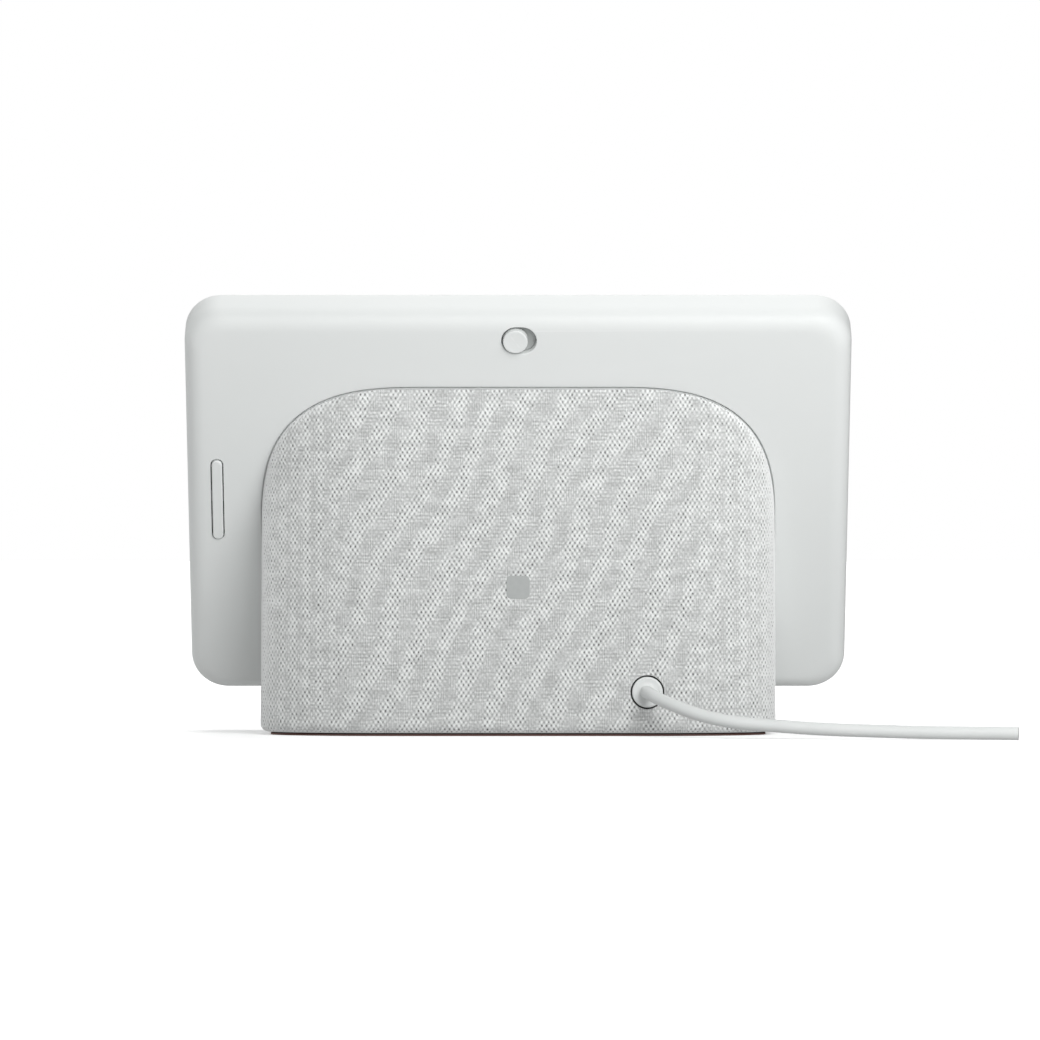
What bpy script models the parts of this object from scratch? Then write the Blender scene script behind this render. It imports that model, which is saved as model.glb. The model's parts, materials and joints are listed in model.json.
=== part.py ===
"""Smart display: a display slab that leans back on a fabric-covered loudspeaker base.

Metres, +Z up. The screen faces -Y and the rear faces +Y. The origin is on the table, under the middle
of the object. Head pieces are placed in the slab's own frame: x across, y into the slab from the glass,
z up along the slab.
"""

import math

import bmesh
import bpy

MM = 0.001

# Display slab
SLAB_WIDTH = 178.5 * MM
SLAB_HEIGHT = 114.1 * MM
SLAB_DEPTH = 13.0 * MM
SLAB_TILT = math.radians(27.0)
SLAB_CORNER = 9.8 * MM
SLAB_BACK_EDGE = 6.0 * MM
SLAB_FRONT_EDGE = 0.5 * MM
SLAB_FOOT_Y = -33.65 * MM
SLAB_FOOT_Z = 16.33 * MM
SLAB_MIDDLE = SLAB_HEIGHT / 2
COVER_WALL = 1.8 * MM
GAP = 0.3 * MM

# Fabric-covered base
BASE_HALF_WIDTH = 69.0 * MM
BASE_REAR_Y = 33.65 * MM
BASE_FRONT_Y = -16.0 * MM
BASE_TOP = 92.75 * MM
BASE_LEAN = 13.4 * MM
BASE_LEAN_POWER = 1.25
ARCH_WIDTH = 43.0 * MM
ARCH_HEIGHT = 37.0 * MM
ARCH_POWER = 2.8
REAR_FLAT_HALF = 35.0 * MM
REAR_CORNER_DEPTH = 17.5 * MM
FRONT_CORNER = 9.0 * MM
SLEEVE_BOTTOM = 0.8 * MM
SLEEVE_EDGE = 2.0 * MM
SLEEVE_THICKNESS = 1.0 * MM
SHELL_INSET = SLEEVE_THICKNESS + GAP
SHELL_THICKNESS = 2.0 * MM
SHELL_INNER = SHELL_INSET + SHELL_THICKNESS
FOOT_INSET = 2.6 * MM
FOOT_THICKNESS = 0.5 * MM

# Moving pieces
MUTE_X = -0.2 * MM
MUTE_UP = 106.4 * MM
MUTE_HALF_LENGTH = 4.7 * MM
MUTE_HALF_HEIGHT = 3.85 * MM
MUTE_FLOOR = 10.6 * MM
KNOB_X = 0.75 * MM
KNOB_RADIUS = 3.3 * MM
KNOB_PROUD = 0.9 * MM
MUTE_TRAVEL = 1.9 * MM
ROCKER_X = 81.1 * MM
ROCKER_UP = 59.0 * MM
ROCKER_HALF_WIDTH = 1.42 * MM
ROCKER_HALF_LENGTH = 11.75 * MM
ROCKER_PROUD = 0.55 * MM
ROCKER_PIN_DEPTH = 9.4 * MM
PLUG_X = -34.4 * MM
PLUG_Z = 11.7 * MM
PLUG_RADIUS = 4.1 * MM
PLUG_SHOULDER_Y = 23.5 * MM
PLUG_FACE_Y = 33.2 * MM
CABLE_RADIUS = 1.7 * MM

# Loudspeaker, on an axis square to the leaning rear wall
SPEAKER_Y = 23.9 * MM
SPEAKER_Z = 36.0 * MM
SPEAKER_RISE = math.radians(8.0)

# Flat parts of the head, as depth into the slab
GLASS_DEPTH = (0.0, 1.0 * MM)
GASKET_DEPTH = (1.3 * MM, 1.8 * MM)
LCD_DEPTH = (1.3 * MM, 3.3 * MM)
CHASSIS_FLOOR = (4.6 * MM, 5.8 * MM)
BOARD_DEPTH = (6.2 * MM, 7.0 * MM)


def clear_scene():
    for thing in list(bpy.data.objects):
        bpy.data.objects.remove(thing)


def material(name, colour, roughness, metallic=0.0):
    made = bpy.data.materials.new(name)
    made.use_nodes = True
    shader = made.node_tree.nodes["Principled BSDF"]
    shader.inputs["Base Color"].default_value = (*colour, 1.0)
    shader.inputs["Roughness"].default_value = roughness
    shader.inputs["Metallic"].default_value = metallic
    return made


def make_materials():
    return {
        "shell_white": material("shell_white", (0.80, 0.81, 0.80), 0.42),
        "bezel_glass": material("bezel_glass", (0.74, 0.76, 0.75), 0.08),
        "screen_black": material("screen_black", (0.01, 0.01, 0.012), 0.12),
        "gasket_black": material("gasket_black", (0.02, 0.02, 0.02), 0.8),
        "insert_grey": material("insert_grey", (0.16, 0.17, 0.17), 0.6),
        "flag_orange": material("flag_orange", (0.85, 0.25, 0.04), 0.5),
        "fabric_grey": material("fabric_grey", (0.60, 0.62, 0.61), 0.95),
        "frame_plastic": material("frame_plastic", (0.10, 0.10, 0.11), 0.6),
        "foot_coral": material("foot_coral", (0.72, 0.22, 0.16), 0.7),
        "sheet_steel": material("sheet_steel", (0.60, 0.60, 0.62), 0.35, 1.0),
        "plate_aluminium": material("plate_aluminium", (0.75, 0.76, 0.78), 0.4, 1.0),
        "board_green": material("board_green", (0.02, 0.16, 0.08), 0.5),
        "cone_paper": material("cone_paper", (0.05, 0.05, 0.055), 0.9),
        "surround_rubber": material("surround_rubber", (0.015, 0.015, 0.015), 0.7),
        "spider_cloth": material("spider_cloth", (0.55, 0.38, 0.14), 0.95),
        "coil_copper": material("coil_copper", (0.75, 0.36, 0.18), 0.35, 1.0),
        "flex_amber": material("flex_amber", (0.50, 0.24, 0.05), 0.4),
        "wire_red": material("wire_red", (0.55, 0.03, 0.03), 0.5),
        "wire_black": material("wire_black", (0.02, 0.02, 0.02), 0.5),
        "cord_white": material("cord_white", (0.82, 0.83, 0.82), 0.5),
    }


# ---- general shapes ----


def finish(name, mesh_source, finish_name, parent=None, location=(0, 0, 0), rotation=(0, 0, 0)):
    """Turns a bmesh into a named object with its material, shaded smooth up to 40 degrees."""
    bmesh.ops.recalc_face_normals(mesh_source, faces=mesh_source.faces)
    mesh = bpy.data.meshes.new(name)
    mesh_source.to_mesh(mesh)
    mesh_source.free()
    mesh.shade_smooth()
    mesh.set_sharp_from_angle(angle=math.radians(40))
    made = bpy.data.objects.new(name, mesh)
    bpy.context.scene.collection.objects.link(made)
    if finish_name:
        mesh.materials.append(MATERIALS[finish_name])
    made.parent = parent
    made.location = location
    made.rotation_euler = rotation
    return made


def hide_tool(tool):
    tool.hide_render = True
    tool.display_type = "WIRE"


def boolean(target, tool, operation="DIFFERENCE"):
    hide_tool(tool)
    change = target.modifiers.new(tool.name, "BOOLEAN")
    change.operation = operation
    change.solver = "EXACT"
    change.object = tool


def bevel(target, width):
    change = target.modifiers.new("edges", "BEVEL")
    change.width = width
    change.segments = 1
    change.limit_method = "ANGLE"
    change.angle_limit = math.radians(50)


def loft_rings(rings, closed=False):
    """Joins rings of equal point count; closed joins the last ring to the first, else both ends are capped."""
    source = bmesh.new()
    rows = [[source.verts.new(point) for point in ring] for ring in rings]
    count = len(rows[0])
    pairs = list(zip(rows, rows[1:]))
    if closed:
        pairs.append((rows[-1], rows[0]))
    for low, high in pairs:
        for i in range(count):
            j = (i + 1) % count
            source.faces.new((low[i], low[j], high[j], high[i]))
    if not closed:
        source.faces.new(list(reversed(rows[0])))
        source.faces.new(rows[-1])
    return source


def arc(centre_x, centre_y, radius_x, radius_y, start, end, steps):
    """Points on an elliptical arc, both ends included; angles in degrees."""
    points = []
    for i in range(steps + 1):
        angle = math.radians(start + (end - start) * i / steps)
        points.append((centre_x + radius_x * math.cos(angle), centre_y + radius_y * math.sin(angle)))
    return points


def rounded_rectangle(half_x, half_z, radius, steps=4):
    """Corner points of a rounded rectangle, anticlockwise from its +X side."""
    x, z = half_x - radius, half_z - radius
    outline = arc(x, z, radius, radius, 0, 90, steps)
    outline += arc(-x, z, radius, radius, 90, 180, steps)
    outline += arc(-x, -z, radius, radius, 180, 270, steps)
    outline += arc(x, -z, radius, radius, 270, 360, steps)
    return outline


def slab_ring(half_x, half_z, radius, depth, centre=(0.0, SLAB_MIDDLE), steps=4):
    """A rounded rectangle parallel to the glass, at a depth into the slab."""
    outline = rounded_rectangle(half_x, half_z, radius, steps)
    return [(centre[0] + x, depth, centre[1] + z) for x, z in outline]


def slab_plate(half_x, half_z, radius, depths, centre=(0.0, SLAB_MIDDLE), steps=4):
    return loft_rings([slab_ring(half_x, half_z, radius, depth, centre, steps) for depth in depths])


def box_source(low, high, source=None):
    source = source or bmesh.new()
    made = bmesh.ops.create_cube(source, size=1.0)["verts"]
    for vert in made:
        for i in range(3):
            vert.co[i] = low[i] if vert.co[i] < 0 else high[i]
    return source


def circle(radius, height, segments):
    return [
        (radius * math.cos(2 * math.pi * i / segments), radius * math.sin(2 * math.pi * i / segments), height)
        for i in range(segments)
    ]


def turned(profile, segments=24, closed=False):
    """A body turned about local Z, from (radius, height) pairs; closed makes a ring with a hole."""
    return loft_rings([circle(radius, height, segments) for radius, height in profile], closed)


def strip_source(path, thickness, low_x, high_x):
    """A bent strip: a path of (y, z) points given a thickness, and drawn out along X."""
    sides = []
    for side in (-0.5, 0.5):
        line = []
        for i, (y, z) in enumerate(path):
            before = path[max(i - 1, 0)]
            after = path[min(i + 1, len(path) - 1)]
            into = math.atan2(z - before[1], y - before[0]) if i else math.atan2(after[1] - z, after[0] - y)
            out = math.atan2(after[1] - z, after[0] - y) if i < len(path) - 1 else into
            middle = (into + out) / 2
            reach = side * thickness / math.cos((out - into) / 2)
            line.append((y - reach * math.sin(middle), z + reach * math.cos(middle)))
        sides.append(line)
    outline = sides[0] + list(reversed(sides[1]))
    return loft_rings([[(x, y, z) for y, z in outline] for x in (low_x, high_x)])


def tube(name, points, radius, finish_name, resolution=8, sides=2):
    """A round cord through points, as a bevelled curve with filled ends."""
    curve = bpy.data.curves.new(name, "CURVE")
    curve.dimensions = "3D"
    curve.bevel_depth = radius
    curve.bevel_resolution = sides
    curve.resolution_u = resolution
    curve.use_fill_caps = True
    spline = curve.splines.new("BEZIER")
    spline.bezier_points.add(len(points) - 1)
    for knot, point in zip(spline.bezier_points, points):
        knot.co = point
        knot.handle_left_type = "AUTO"
        knot.handle_right_type = "AUTO"
    curve.materials.append(MATERIALS[finish_name])
    made = bpy.data.objects.new(name, curve)
    bpy.context.scene.collection.objects.link(made)
    return made


def screw(name, parent, location, rotation, length, head=1.7 * MM):
    """A pan-head screw with its head at local Z 0 and above, and its shank pointing down local Z."""
    shank = 0.8 * MM
    socket = 0.7 * MM
    profile = [
        (0.3 * MM, -length),
        (shank, 0.8 * MM - length),
        (shank, 0.0),
        (head, 0.0),
        (head, 0.5 * MM),
        (0.7 * head, 0.9 * MM),
        (socket, 0.9 * MM),
        (0.4 * socket, 0.4 * MM),
    ]
    return finish(name, turned(profile, 10), "sheet_steel", parent, location, rotation)


# ---- display head ----


def rear_cover_rings():
    """The tub from its outer floor, round the back edge, over the front rim and down its inner wall."""
    half_x, half_z = SLAB_WIDTH / 2, SLAB_HEIGHT / 2
    turn = SLAB_DEPTH - SLAB_BACK_EDGE
    rings = []
    for degrees in (90, 72, 54, 36, 18, 0):
        angle = math.radians(degrees)
        inset = SLAB_BACK_EDGE * (1 - math.cos(angle))
        depth = turn + SLAB_BACK_EDGE * math.sin(angle)
        radius = SLAB_CORNER - inset * 0.6
        rings.append(slab_ring(half_x - inset, half_z - inset, radius, depth, steps=8))
    edge = SLAB_FRONT_EDGE
    rings.append(slab_ring(half_x, half_z, SLAB_CORNER, edge, steps=8))
    rings.append(slab_ring(half_x - edge, half_z - edge, SLAB_CORNER - edge, 0.1 * MM, steps=8))
    inner_x, inner_z = half_x - 1.1 * MM, half_z - 1.1 * MM
    inner_radius = SLAB_CORNER - 1.1 * MM
    rings.append(slab_ring(inner_x, inner_z, inner_radius, 0.1 * MM, steps=8))
    rings.append(slab_ring(inner_x, inner_z, inner_radius, 1.1 * MM, steps=8))
    wall_x, wall_z = half_x - COVER_WALL, half_z - COVER_WALL
    inner_edge = SLAB_BACK_EDGE - COVER_WALL
    inner_corner = SLAB_CORNER - COVER_WALL
    rings.append(slab_ring(wall_x, wall_z, inner_corner, 1.5 * MM, steps=8))
    for degrees in (0, 30, 60, 90):
        angle = math.radians(degrees)
        inset = inner_edge * (1 - math.cos(angle))
        depth = turn + inner_edge * math.sin(angle)
        radius = inner_corner - inset * 0.6
        rings.append(slab_ring(wall_x - inset, wall_z - inset, radius, depth, steps=8))
    return rings


CHASSIS_SCREWS = [(side * 75 * MM, up) for side in (-1, 1) for up in (6.9 * MM, 107.2 * MM)]
BRACKET_SCREWS = [(side * 22 * MM, 48 * MM) for side in (-1, 1)]
FLEX_LOW_X, FLEX_HIGH_X, FLEX_UP = 35 * MM, 49 * MM, 24 * MM


def disc_cutters(name, places, radius, low, high, parent):
    """Round rods along the slab's depth, one at each (x, up) place."""
    tool = bmesh.new()
    for x, up in places:
        rod = loft_rings([[(x + a, depth, up + b) for a, b, _ in circle(radius, 0, 12)] for depth in (low, high)])
        part = bpy.data.meshes.new(name)
        rod.to_mesh(part)
        rod.free()
        tool.from_mesh(part)
    return finish(name, tool, None, parent)


def rear_cover(frame):
    cover = finish("rear_cover", loft_rings(rear_cover_rings()), "shell_white", frame)
    bosses = disc_cutters("cover_bosses", CHASSIS_SCREWS, 2.3 * MM, 6.1 * MM, 11.9 * MM, frame)
    boolean(cover, bosses, "UNION")
    pad = finish(
        "cover_pad",
        box_source((-8.5 * MM, 9.6 * MM, 101.0 * MM), (8.1 * MM, 11.6 * MM, 111.0 * MM)),
        None,
        frame,
    )
    boolean(cover, pad, "UNION")
    recess = slab_plate(
        MUTE_HALF_LENGTH,
        MUTE_HALF_HEIGHT,
        MUTE_HALF_HEIGHT * 0.99,
        (MUTE_FLOOR, 15 * MM),
        (MUTE_X, MUTE_UP),
        steps=6,
    )
    boolean(cover, finish("recess_cut", recess, None, frame))
    boolean(cover, stem_slot("stem_slot_cut", frame, 9.0 * MM, 11.0 * MM))
    opening = slab_plate(
        ROCKER_HALF_WIDTH + GAP,
        ROCKER_HALF_LENGTH + GAP,
        ROCKER_HALF_WIDTH + GAP * 0.9,
        (10.5 * MM, 15 * MM),
        (ROCKER_X, ROCKER_UP),
    )
    boolean(cover, finish("rocker_cut", opening, None, frame))
    boolean(cover, disc_cutters("boss_bores", CHASSIS_SCREWS, 1.1 * MM, 5.5 * MM, 11.0 * MM, frame))
    boolean(cover, disc_cutters("bracket_bores", BRACKET_SCREWS, 1.1 * MM, 10.0 * MM, 14.0 * MM, frame))
    flex = box_source(
        (FLEX_LOW_X - 0.5 * MM, 10 * MM, FLEX_UP - 1.0 * MM),
        (FLEX_HIGH_X + 0.5 * MM, 14 * MM, FLEX_UP + 1.0 * MM),
    )
    boolean(cover, finish("cover_flex_cut", flex, None, frame))


def stem_slot(name, frame, low, high):
    """The slot that the knob's stem slides along."""
    half = 1.2 * MM
    left = KNOB_X - MUTE_TRAVEL - half
    right = KNOB_X + half
    middle = (left + right) / 2
    source = slab_plate((right - left) / 2, half, half * 0.99, (low, high), (middle, MUTE_UP), steps=3)
    return finish(name, source, None, frame)


def front_glass(frame):
    half_x, half_z = SLAB_WIDTH / 2 - 1.4 * MM, SLAB_HEIGHT / 2 - 1.4 * MM
    corner = SLAB_CORNER - 1.4 * MM
    glass = slab_plate(half_x, half_z, corner, GLASS_DEPTH, steps=8)
    finish("front_glass", glass, "bezel_glass", frame)


def glass_gasket(frame):
    rings = []
    for half_x, half_z, depth in (
        (86.6, 54.4, GASKET_DEPTH[0]),
        (86.6, 54.4, GASKET_DEPTH[1]),
        (85.4, 53.2, GASKET_DEPTH[1]),
        (85.4, 53.2, GASKET_DEPTH[0]),
    ):
        rings.append(slab_ring(half_x * MM, half_z * MM, 7.0 * MM, depth))
    finish("glass_gasket", loft_rings(rings, closed=True), "gasket_black", frame)


def lcd_panel(frame):
    panel = slab_plate(80.4 * MM, 46.5 * MM, 0.6 * MM, LCD_DEPTH, steps=1)
    finish("lcd_panel", panel, "screen_black", frame)


def backlight_tray(frame):
    """A pressed pan round the back and sides of the panel."""
    rings = []
    for half_x, half_z, depth in (
        (81.4, 47.5, 4.3),
        (81.4, 47.5, 2.0),
        (80.8, 46.9, 2.0),
        (80.8, 46.9, 3.6),
    ):
        rings.append(slab_ring(half_x * MM, half_z * MM, 0.8 * MM, depth * MM, steps=2))
    finish("backlight_tray", loft_rings(rings), "sheet_steel", frame)


def chassis_plate(frame):
    """A stepped plate: a flange behind the glass edge, and a pocket for the panel and the sensor board."""
    rings = []
    for half_x, half_z, corner, depth in (
        (83.3, 54.0, 5.0, CHASSIS_FLOOR[1]),
        (83.3, 54.0, 5.0, 3.1 * MM),
        (86.9, 54.6, 7.0, 3.1 * MM),
        (86.9, 54.6, 7.0, 2.1 * MM),
        (82.3, 53.1, 4.0, 2.1 * MM),
        (82.3, 53.1, 4.0, CHASSIS_FLOOR[0]),
    ):
        rings.append(slab_ring(half_x * MM, half_z * MM, corner * MM, depth))
    plate = finish("chassis_plate", loft_rings(rings), "plate_aluminium", frame)
    boolean(plate, disc_cutters("chassis_bores", CHASSIS_SCREWS, 1.1 * MM, 4.0 * MM, 6.4 * MM, frame))
    slot = box_source(
        (FLEX_LOW_X - 0.5 * MM, 4 * MM, FLEX_UP - 1.0 * MM),
        (FLEX_HIGH_X + 0.5 * MM, 6.5 * MM, FLEX_UP + 1.0 * MM),
    )
    boolean(plate, finish("chassis_flex_cut", slot, None, frame))


def slab_box(name, finish_name, frame, low, high, edge=0.0):
    """A block given by its lowest and highest (x, depth, up) corners in millimetres."""
    made = finish(name, box_source([v * MM for v in low], [v * MM for v in high]), finish_name, frame)
    if edge:
        bevel(made, edge * MM)
    return made


def sensors(frame):
    slab_box("sensor_board", "board_green", frame, (-50, 2.4, 104.6), (50, 3.2, 109.4))
    for side, place in (("left", 37), ("right", -37)):
        slab_box(
            "microphone_" + side,
            "sheet_steel",
            frame,
            (place - 1.9, 1.4, 105.7),
            (place + 1.9, 2.3, 108.3),
            0.2,
        )
    slab_box("light_sensor", "screen_black", frame, (-1.2, 1.4, 106), (1.2, 2.3, 108), 0.2)


def antennas(frame):
    for side, place in (("left", 48), ("right", -48)):
        slab_box(
            "wifi_antenna_" + side,
            "flex_amber",
            frame,
            (place - 13, 6.2, 74),
            (place + 13, 6.7, 84),
        )


def chassis_screws(frame):
    for i, (x, up) in enumerate(CHASSIS_SCREWS):
        turn = (math.radians(90), 0, 0)
        screw("chassis_screw_" + str(i + 1), frame, (x, 4.4 * MM, up), turn, 5.8 * MM)


def mute_switch(frame):
    """The recess insert, its orange half, and the sliding knob with what it drives."""
    for name, finish_name, low_x, high_x in (
        ("recess_insert", "insert_grey", -20 * MM, MUTE_X + 0.35 * MM),
        ("mute_flag", "flag_orange", MUTE_X + 0.55 * MM, 20 * MM),
    ):
        floor = slab_plate(
            MUTE_HALF_LENGTH - 0.2 * MM,
            MUTE_HALF_HEIGHT - 0.2 * MM,
            MUTE_HALF_HEIGHT - 0.25 * MM,
            (MUTE_FLOOR + 0.15 * MM, MUTE_FLOOR + 0.55 * MM),
            (MUTE_X, MUTE_UP),
            steps=6,
        )
        piece = finish(name, floor, finish_name, frame)
        boolean(piece, stem_slot(name + "_slot", frame, 9.0 * MM, 12.0 * MM))
        keep = box_source((low_x, 10 * MM, 100 * MM), (high_x, 12 * MM, 112 * MM))
        boolean(piece, finish(name + "_keep", keep, None, frame), "INTERSECT")
    top = SLAB_DEPTH + KNOB_PROUD
    profile = [
        (1.0 * MM, 8.9 * MM),
        (1.0 * MM, 11.5 * MM),
        (KNOB_RADIUS, 11.5 * MM),
        (KNOB_RADIUS, top - 0.4 * MM),
        (KNOB_RADIUS - 0.12 * MM, top - 0.12 * MM),
        (KNOB_RADIUS - 0.4 * MM, top),
        (KNOB_RADIUS - 0.7 * MM, top),
        (KNOB_RADIUS - 1.2 * MM, top - 0.08 * MM),
    ]
    into_slab = (math.radians(-90), 0, 0)
    finish("mute_knob", turned(profile, 32), "shell_white", frame, (KNOB_X, 0, MUTE_UP), into_slab)
    slab_box("mute_carriage", "frame_plastic", frame, (-3.6, 7.9, 103.4), (5.1, 8.6, 109.2), 0.2)
    slab_box("mute_switch_nib", "insert_grey", frame, (0.15, 7.1, 105.8), (1.35, 7.7, 107.0))
    body = slab_box("mute_switch_body", "sheet_steel", frame, (-5.4, 6.2, 104.0), (5.0, 7.6, 108.8))
    groove = box_source(
        (-2.2 * MM, 6.9 * MM, 105.5 * MM),
        (1.7 * MM, 8.5 * MM, 107.3 * MM),
    )
    boolean(body, finish("nib_groove", groove, None, frame))


def volume_rocker(frame):
    """A pill key with a foot over each switch and a lug round the pin; its origin is on the pin."""
    pin = (ROCKER_X, ROCKER_PIN_DEPTH, ROCKER_UP)
    top = SLAB_DEPTH + ROCKER_PROUD - ROCKER_PIN_DEPTH
    rings = []
    for inset, depth in ((0.0, 1.6 * MM), (0.0, top - 0.45 * MM), (0.13 * MM, top - 0.13 * MM), (0.45 * MM, top)):
        rings.append(
            slab_ring(
                ROCKER_HALF_WIDTH - inset,
                ROCKER_HALF_LENGTH - inset,
                (ROCKER_HALF_WIDTH - inset) * 0.98,
                depth,
                (0, 0),
                steps=6,
            )
        )
    key = finish("volume_rocker", loft_rings(rings), "shell_white", frame, pin)
    for name, up, reach, lowest in (("lower", -9.5, 1.1, 0.1), ("upper", 9.5, 1.1, 0.1), ("lug", 0, 1.3, -1.3)):
        foot = box_source(
            (-1.0 * MM, lowest * MM, (up - reach) * MM),
            (1.0 * MM, 2.0 * MM, (up + reach) * MM),
        )
        boolean(key, finish("rocker_foot_" + name, foot, None, frame, pin), "UNION")
    bore = turned([(0.66 * MM, -3 * MM), (0.66 * MM, 3 * MM)], 24)
    boolean(key, finish("rocker_bore", bore, None, frame, pin, (0, math.radians(90), 0)))


def volume_switches(frame):
    x, up = ROCKER_X / MM, ROCKER_UP / MM
    depth = [v / MM for v in BOARD_DEPTH]
    slab_box("volume_board", "board_green", frame, (x - 3.2, depth[0], up - 14), (x + 3.2, depth[1], up + 14))
    for name, middle in (("volume_up_switch", up + 9.5), ("volume_down_switch", up - 9.5)):
        body = slab_box(name, "sheet_steel", frame, (x - 2, 7.1, middle - 2), (x + 2, 8.2, middle + 2))
        dome = turned([(1.0 * MM, 8.0 * MM), (1.0 * MM, 8.5 * MM), (0.6 * MM, 8.8 * MM)], 12)
        place = (ROCKER_X, 0, middle * MM)
        tool = finish(name + "_dome", dome, None, frame, place, (math.radians(-90), 0, 0))
        boolean(body, tool, "UNION")
    bracket = slab_box("rocker_bracket", "sheet_steel", frame, (x - 2.3, 7.1, up - 1.6), (x + 2.3, 10.4, up + 1.6))
    well = box_source(
        ((x - 1.4) * MM, 7.7 * MM, (up - 3) * MM),
        ((x + 1.4) * MM, 11 * MM, (up + 3) * MM),
    )
    boolean(bracket, finish("bracket_well", well, None, frame))
    pin = (ROCKER_X, ROCKER_PIN_DEPTH, ROCKER_UP)
    bore = turned([(0.66 * MM, -3 * MM), (0.66 * MM, 3 * MM)], 24)
    boolean(bracket, finish("bracket_bore", bore, None, frame, pin, (0, math.radians(90), 0)))
    rod = turned([(0.6 * MM, -2.6 * MM), (0.6 * MM, 2.6 * MM)], 24)
    finish("rocker_pin", rod, "sheet_steel", frame, pin, (0, math.radians(90), 0))


# ---- base ----


def wall_y(z):
    """Where the leaning rear wall stands at a height, before any inset."""
    share = max(z, 0.0) / BASE_TOP
    return BASE_REAR_Y - BASE_LEAN * share**BASE_LEAN_POWER


def slab_back_y(z):
    """Where the display's flat back stands at a height."""
    y0 = SLAB_FOOT_Y + SLAB_DEPTH * math.cos(SLAB_TILT)
    z0 = SLAB_FOOT_Z - SLAB_DEPTH * math.sin(SLAB_TILT)
    return y0 + (z - z0) * math.tan(SLAB_TILT)


def plan_ring(z, half_width, inset, corner_steps=8):
    """The base's outline at one height, moved in by an inset; front corners are quarter circles."""
    rear = wall_y(z) - inset
    front = BASE_FRONT_Y + inset
    side = half_width - inset
    flat = min(REAR_FLAT_HALF, side - 0.6 * MM)
    depth = max(min(REAR_CORNER_DEPTH, wall_y(z) - slab_back_y(z)) - 0.4 * inset, 0.8 * MM)
    turn = FRONT_CORNER - 0.5 * inset
    outline = arc(flat, rear - depth, side - flat, depth, 0, 90, corner_steps)
    outline += arc(-flat, rear - depth, side - flat, depth, 90, 180, corner_steps)
    outline += arc(turn - side, front + turn, turn, turn, 180, 270, 4)
    outline += arc(side - turn, front + turn, turn, turn, 270, 360, 4)
    return [(x, y, z) for x, y in outline]


def body_rings(inset, bottom, corner_steps=8, arch_steps=8):
    """Rings of the base from a height up to the top of its arch, a superellipse, moved in by an inset."""
    spring = BASE_TOP - ARCH_HEIGHT
    rings = [plan_ring(bottom, BASE_HALF_WIDTH, inset, corner_steps)]
    for share in (0.2, 0.4, 0.7):
        rings.append(plan_ring(bottom + (spring - bottom) * share, BASE_HALF_WIDTH, inset, corner_steps))
    for i in range(arch_steps + 1):
        angle = math.radians(90) * i / arch_steps
        rise = math.sin(angle) ** (2 / ARCH_POWER)
        spread = max(math.cos(angle), 0.0) ** (2 / ARCH_POWER)
        half_width = BASE_HALF_WIDTH - ARCH_WIDTH * (1 - spread)
        z = spring + (ARCH_HEIGHT - inset) * rise
        rings.append(plan_ring(z, half_width, inset, corner_steps))
    return rings


def slab_keep_out(name, frame, clearance):
    """The space of the display slab and all in front of it, which the base stays behind."""
    low = (-120 * MM, -90 * MM, -80 * MM)
    high = (120 * MM, SLAB_DEPTH + clearance, 160 * MM)
    return finish(name, box_source(low, high), None, frame)


def round_cutter(name, radius, x, z, low_y, high_y):
    rod = turned([(radius, low_y), (radius, high_y)], 24)
    return finish(name, rod, None, None, (x, 0, z), (math.radians(-90), 0, 0))


def fabric_sleeve(frame):
    """The cloth tube round the base, rounded under at the bottom and open towards the display."""
    rings = []
    for degrees in (90, 60, 30):
        angle = math.radians(degrees)
        inset = SLEEVE_EDGE * (1 - math.cos(angle))
        z = SLEEVE_BOTTOM + SLEEVE_EDGE * (1 - math.sin(angle))
        rings.append(plan_ring(z, BASE_HALF_WIDTH, inset))
    rings += body_rings(0.0, SLEEVE_BOTTOM + SLEEVE_EDGE)
    rings += reversed(body_rings(SLEEVE_THICKNESS, SLEEVE_BOTTOM + SLEEVE_EDGE))
    hem = 3.4 * MM
    lip = SLEEVE_BOTTOM + SLEEVE_THICKNESS
    rings.append(plan_ring(lip, BASE_HALF_WIDTH, SLEEVE_EDGE))
    rings.append(plan_ring(lip, BASE_HALF_WIDTH, hem))
    rings.append(plan_ring(SLEEVE_BOTTOM, BASE_HALF_WIDTH, hem))
    sleeve = finish("fabric_sleeve", loft_rings(rings, closed=True), "fabric_grey")
    boolean(sleeve, slab_keep_out("sleeve_trim", frame, GAP))
    boolean(sleeve, round_cutter("sleeve_jack_cut", PLUG_RADIUS + 0.5 * MM, PLUG_X, PLUG_Z, 22 * MM, 40 * MM))


BASE_SCREWS = [(side * 61.5 * MM, y) for side in (-1, 1) for y in (-4 * MM, 10 * MM)]


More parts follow.
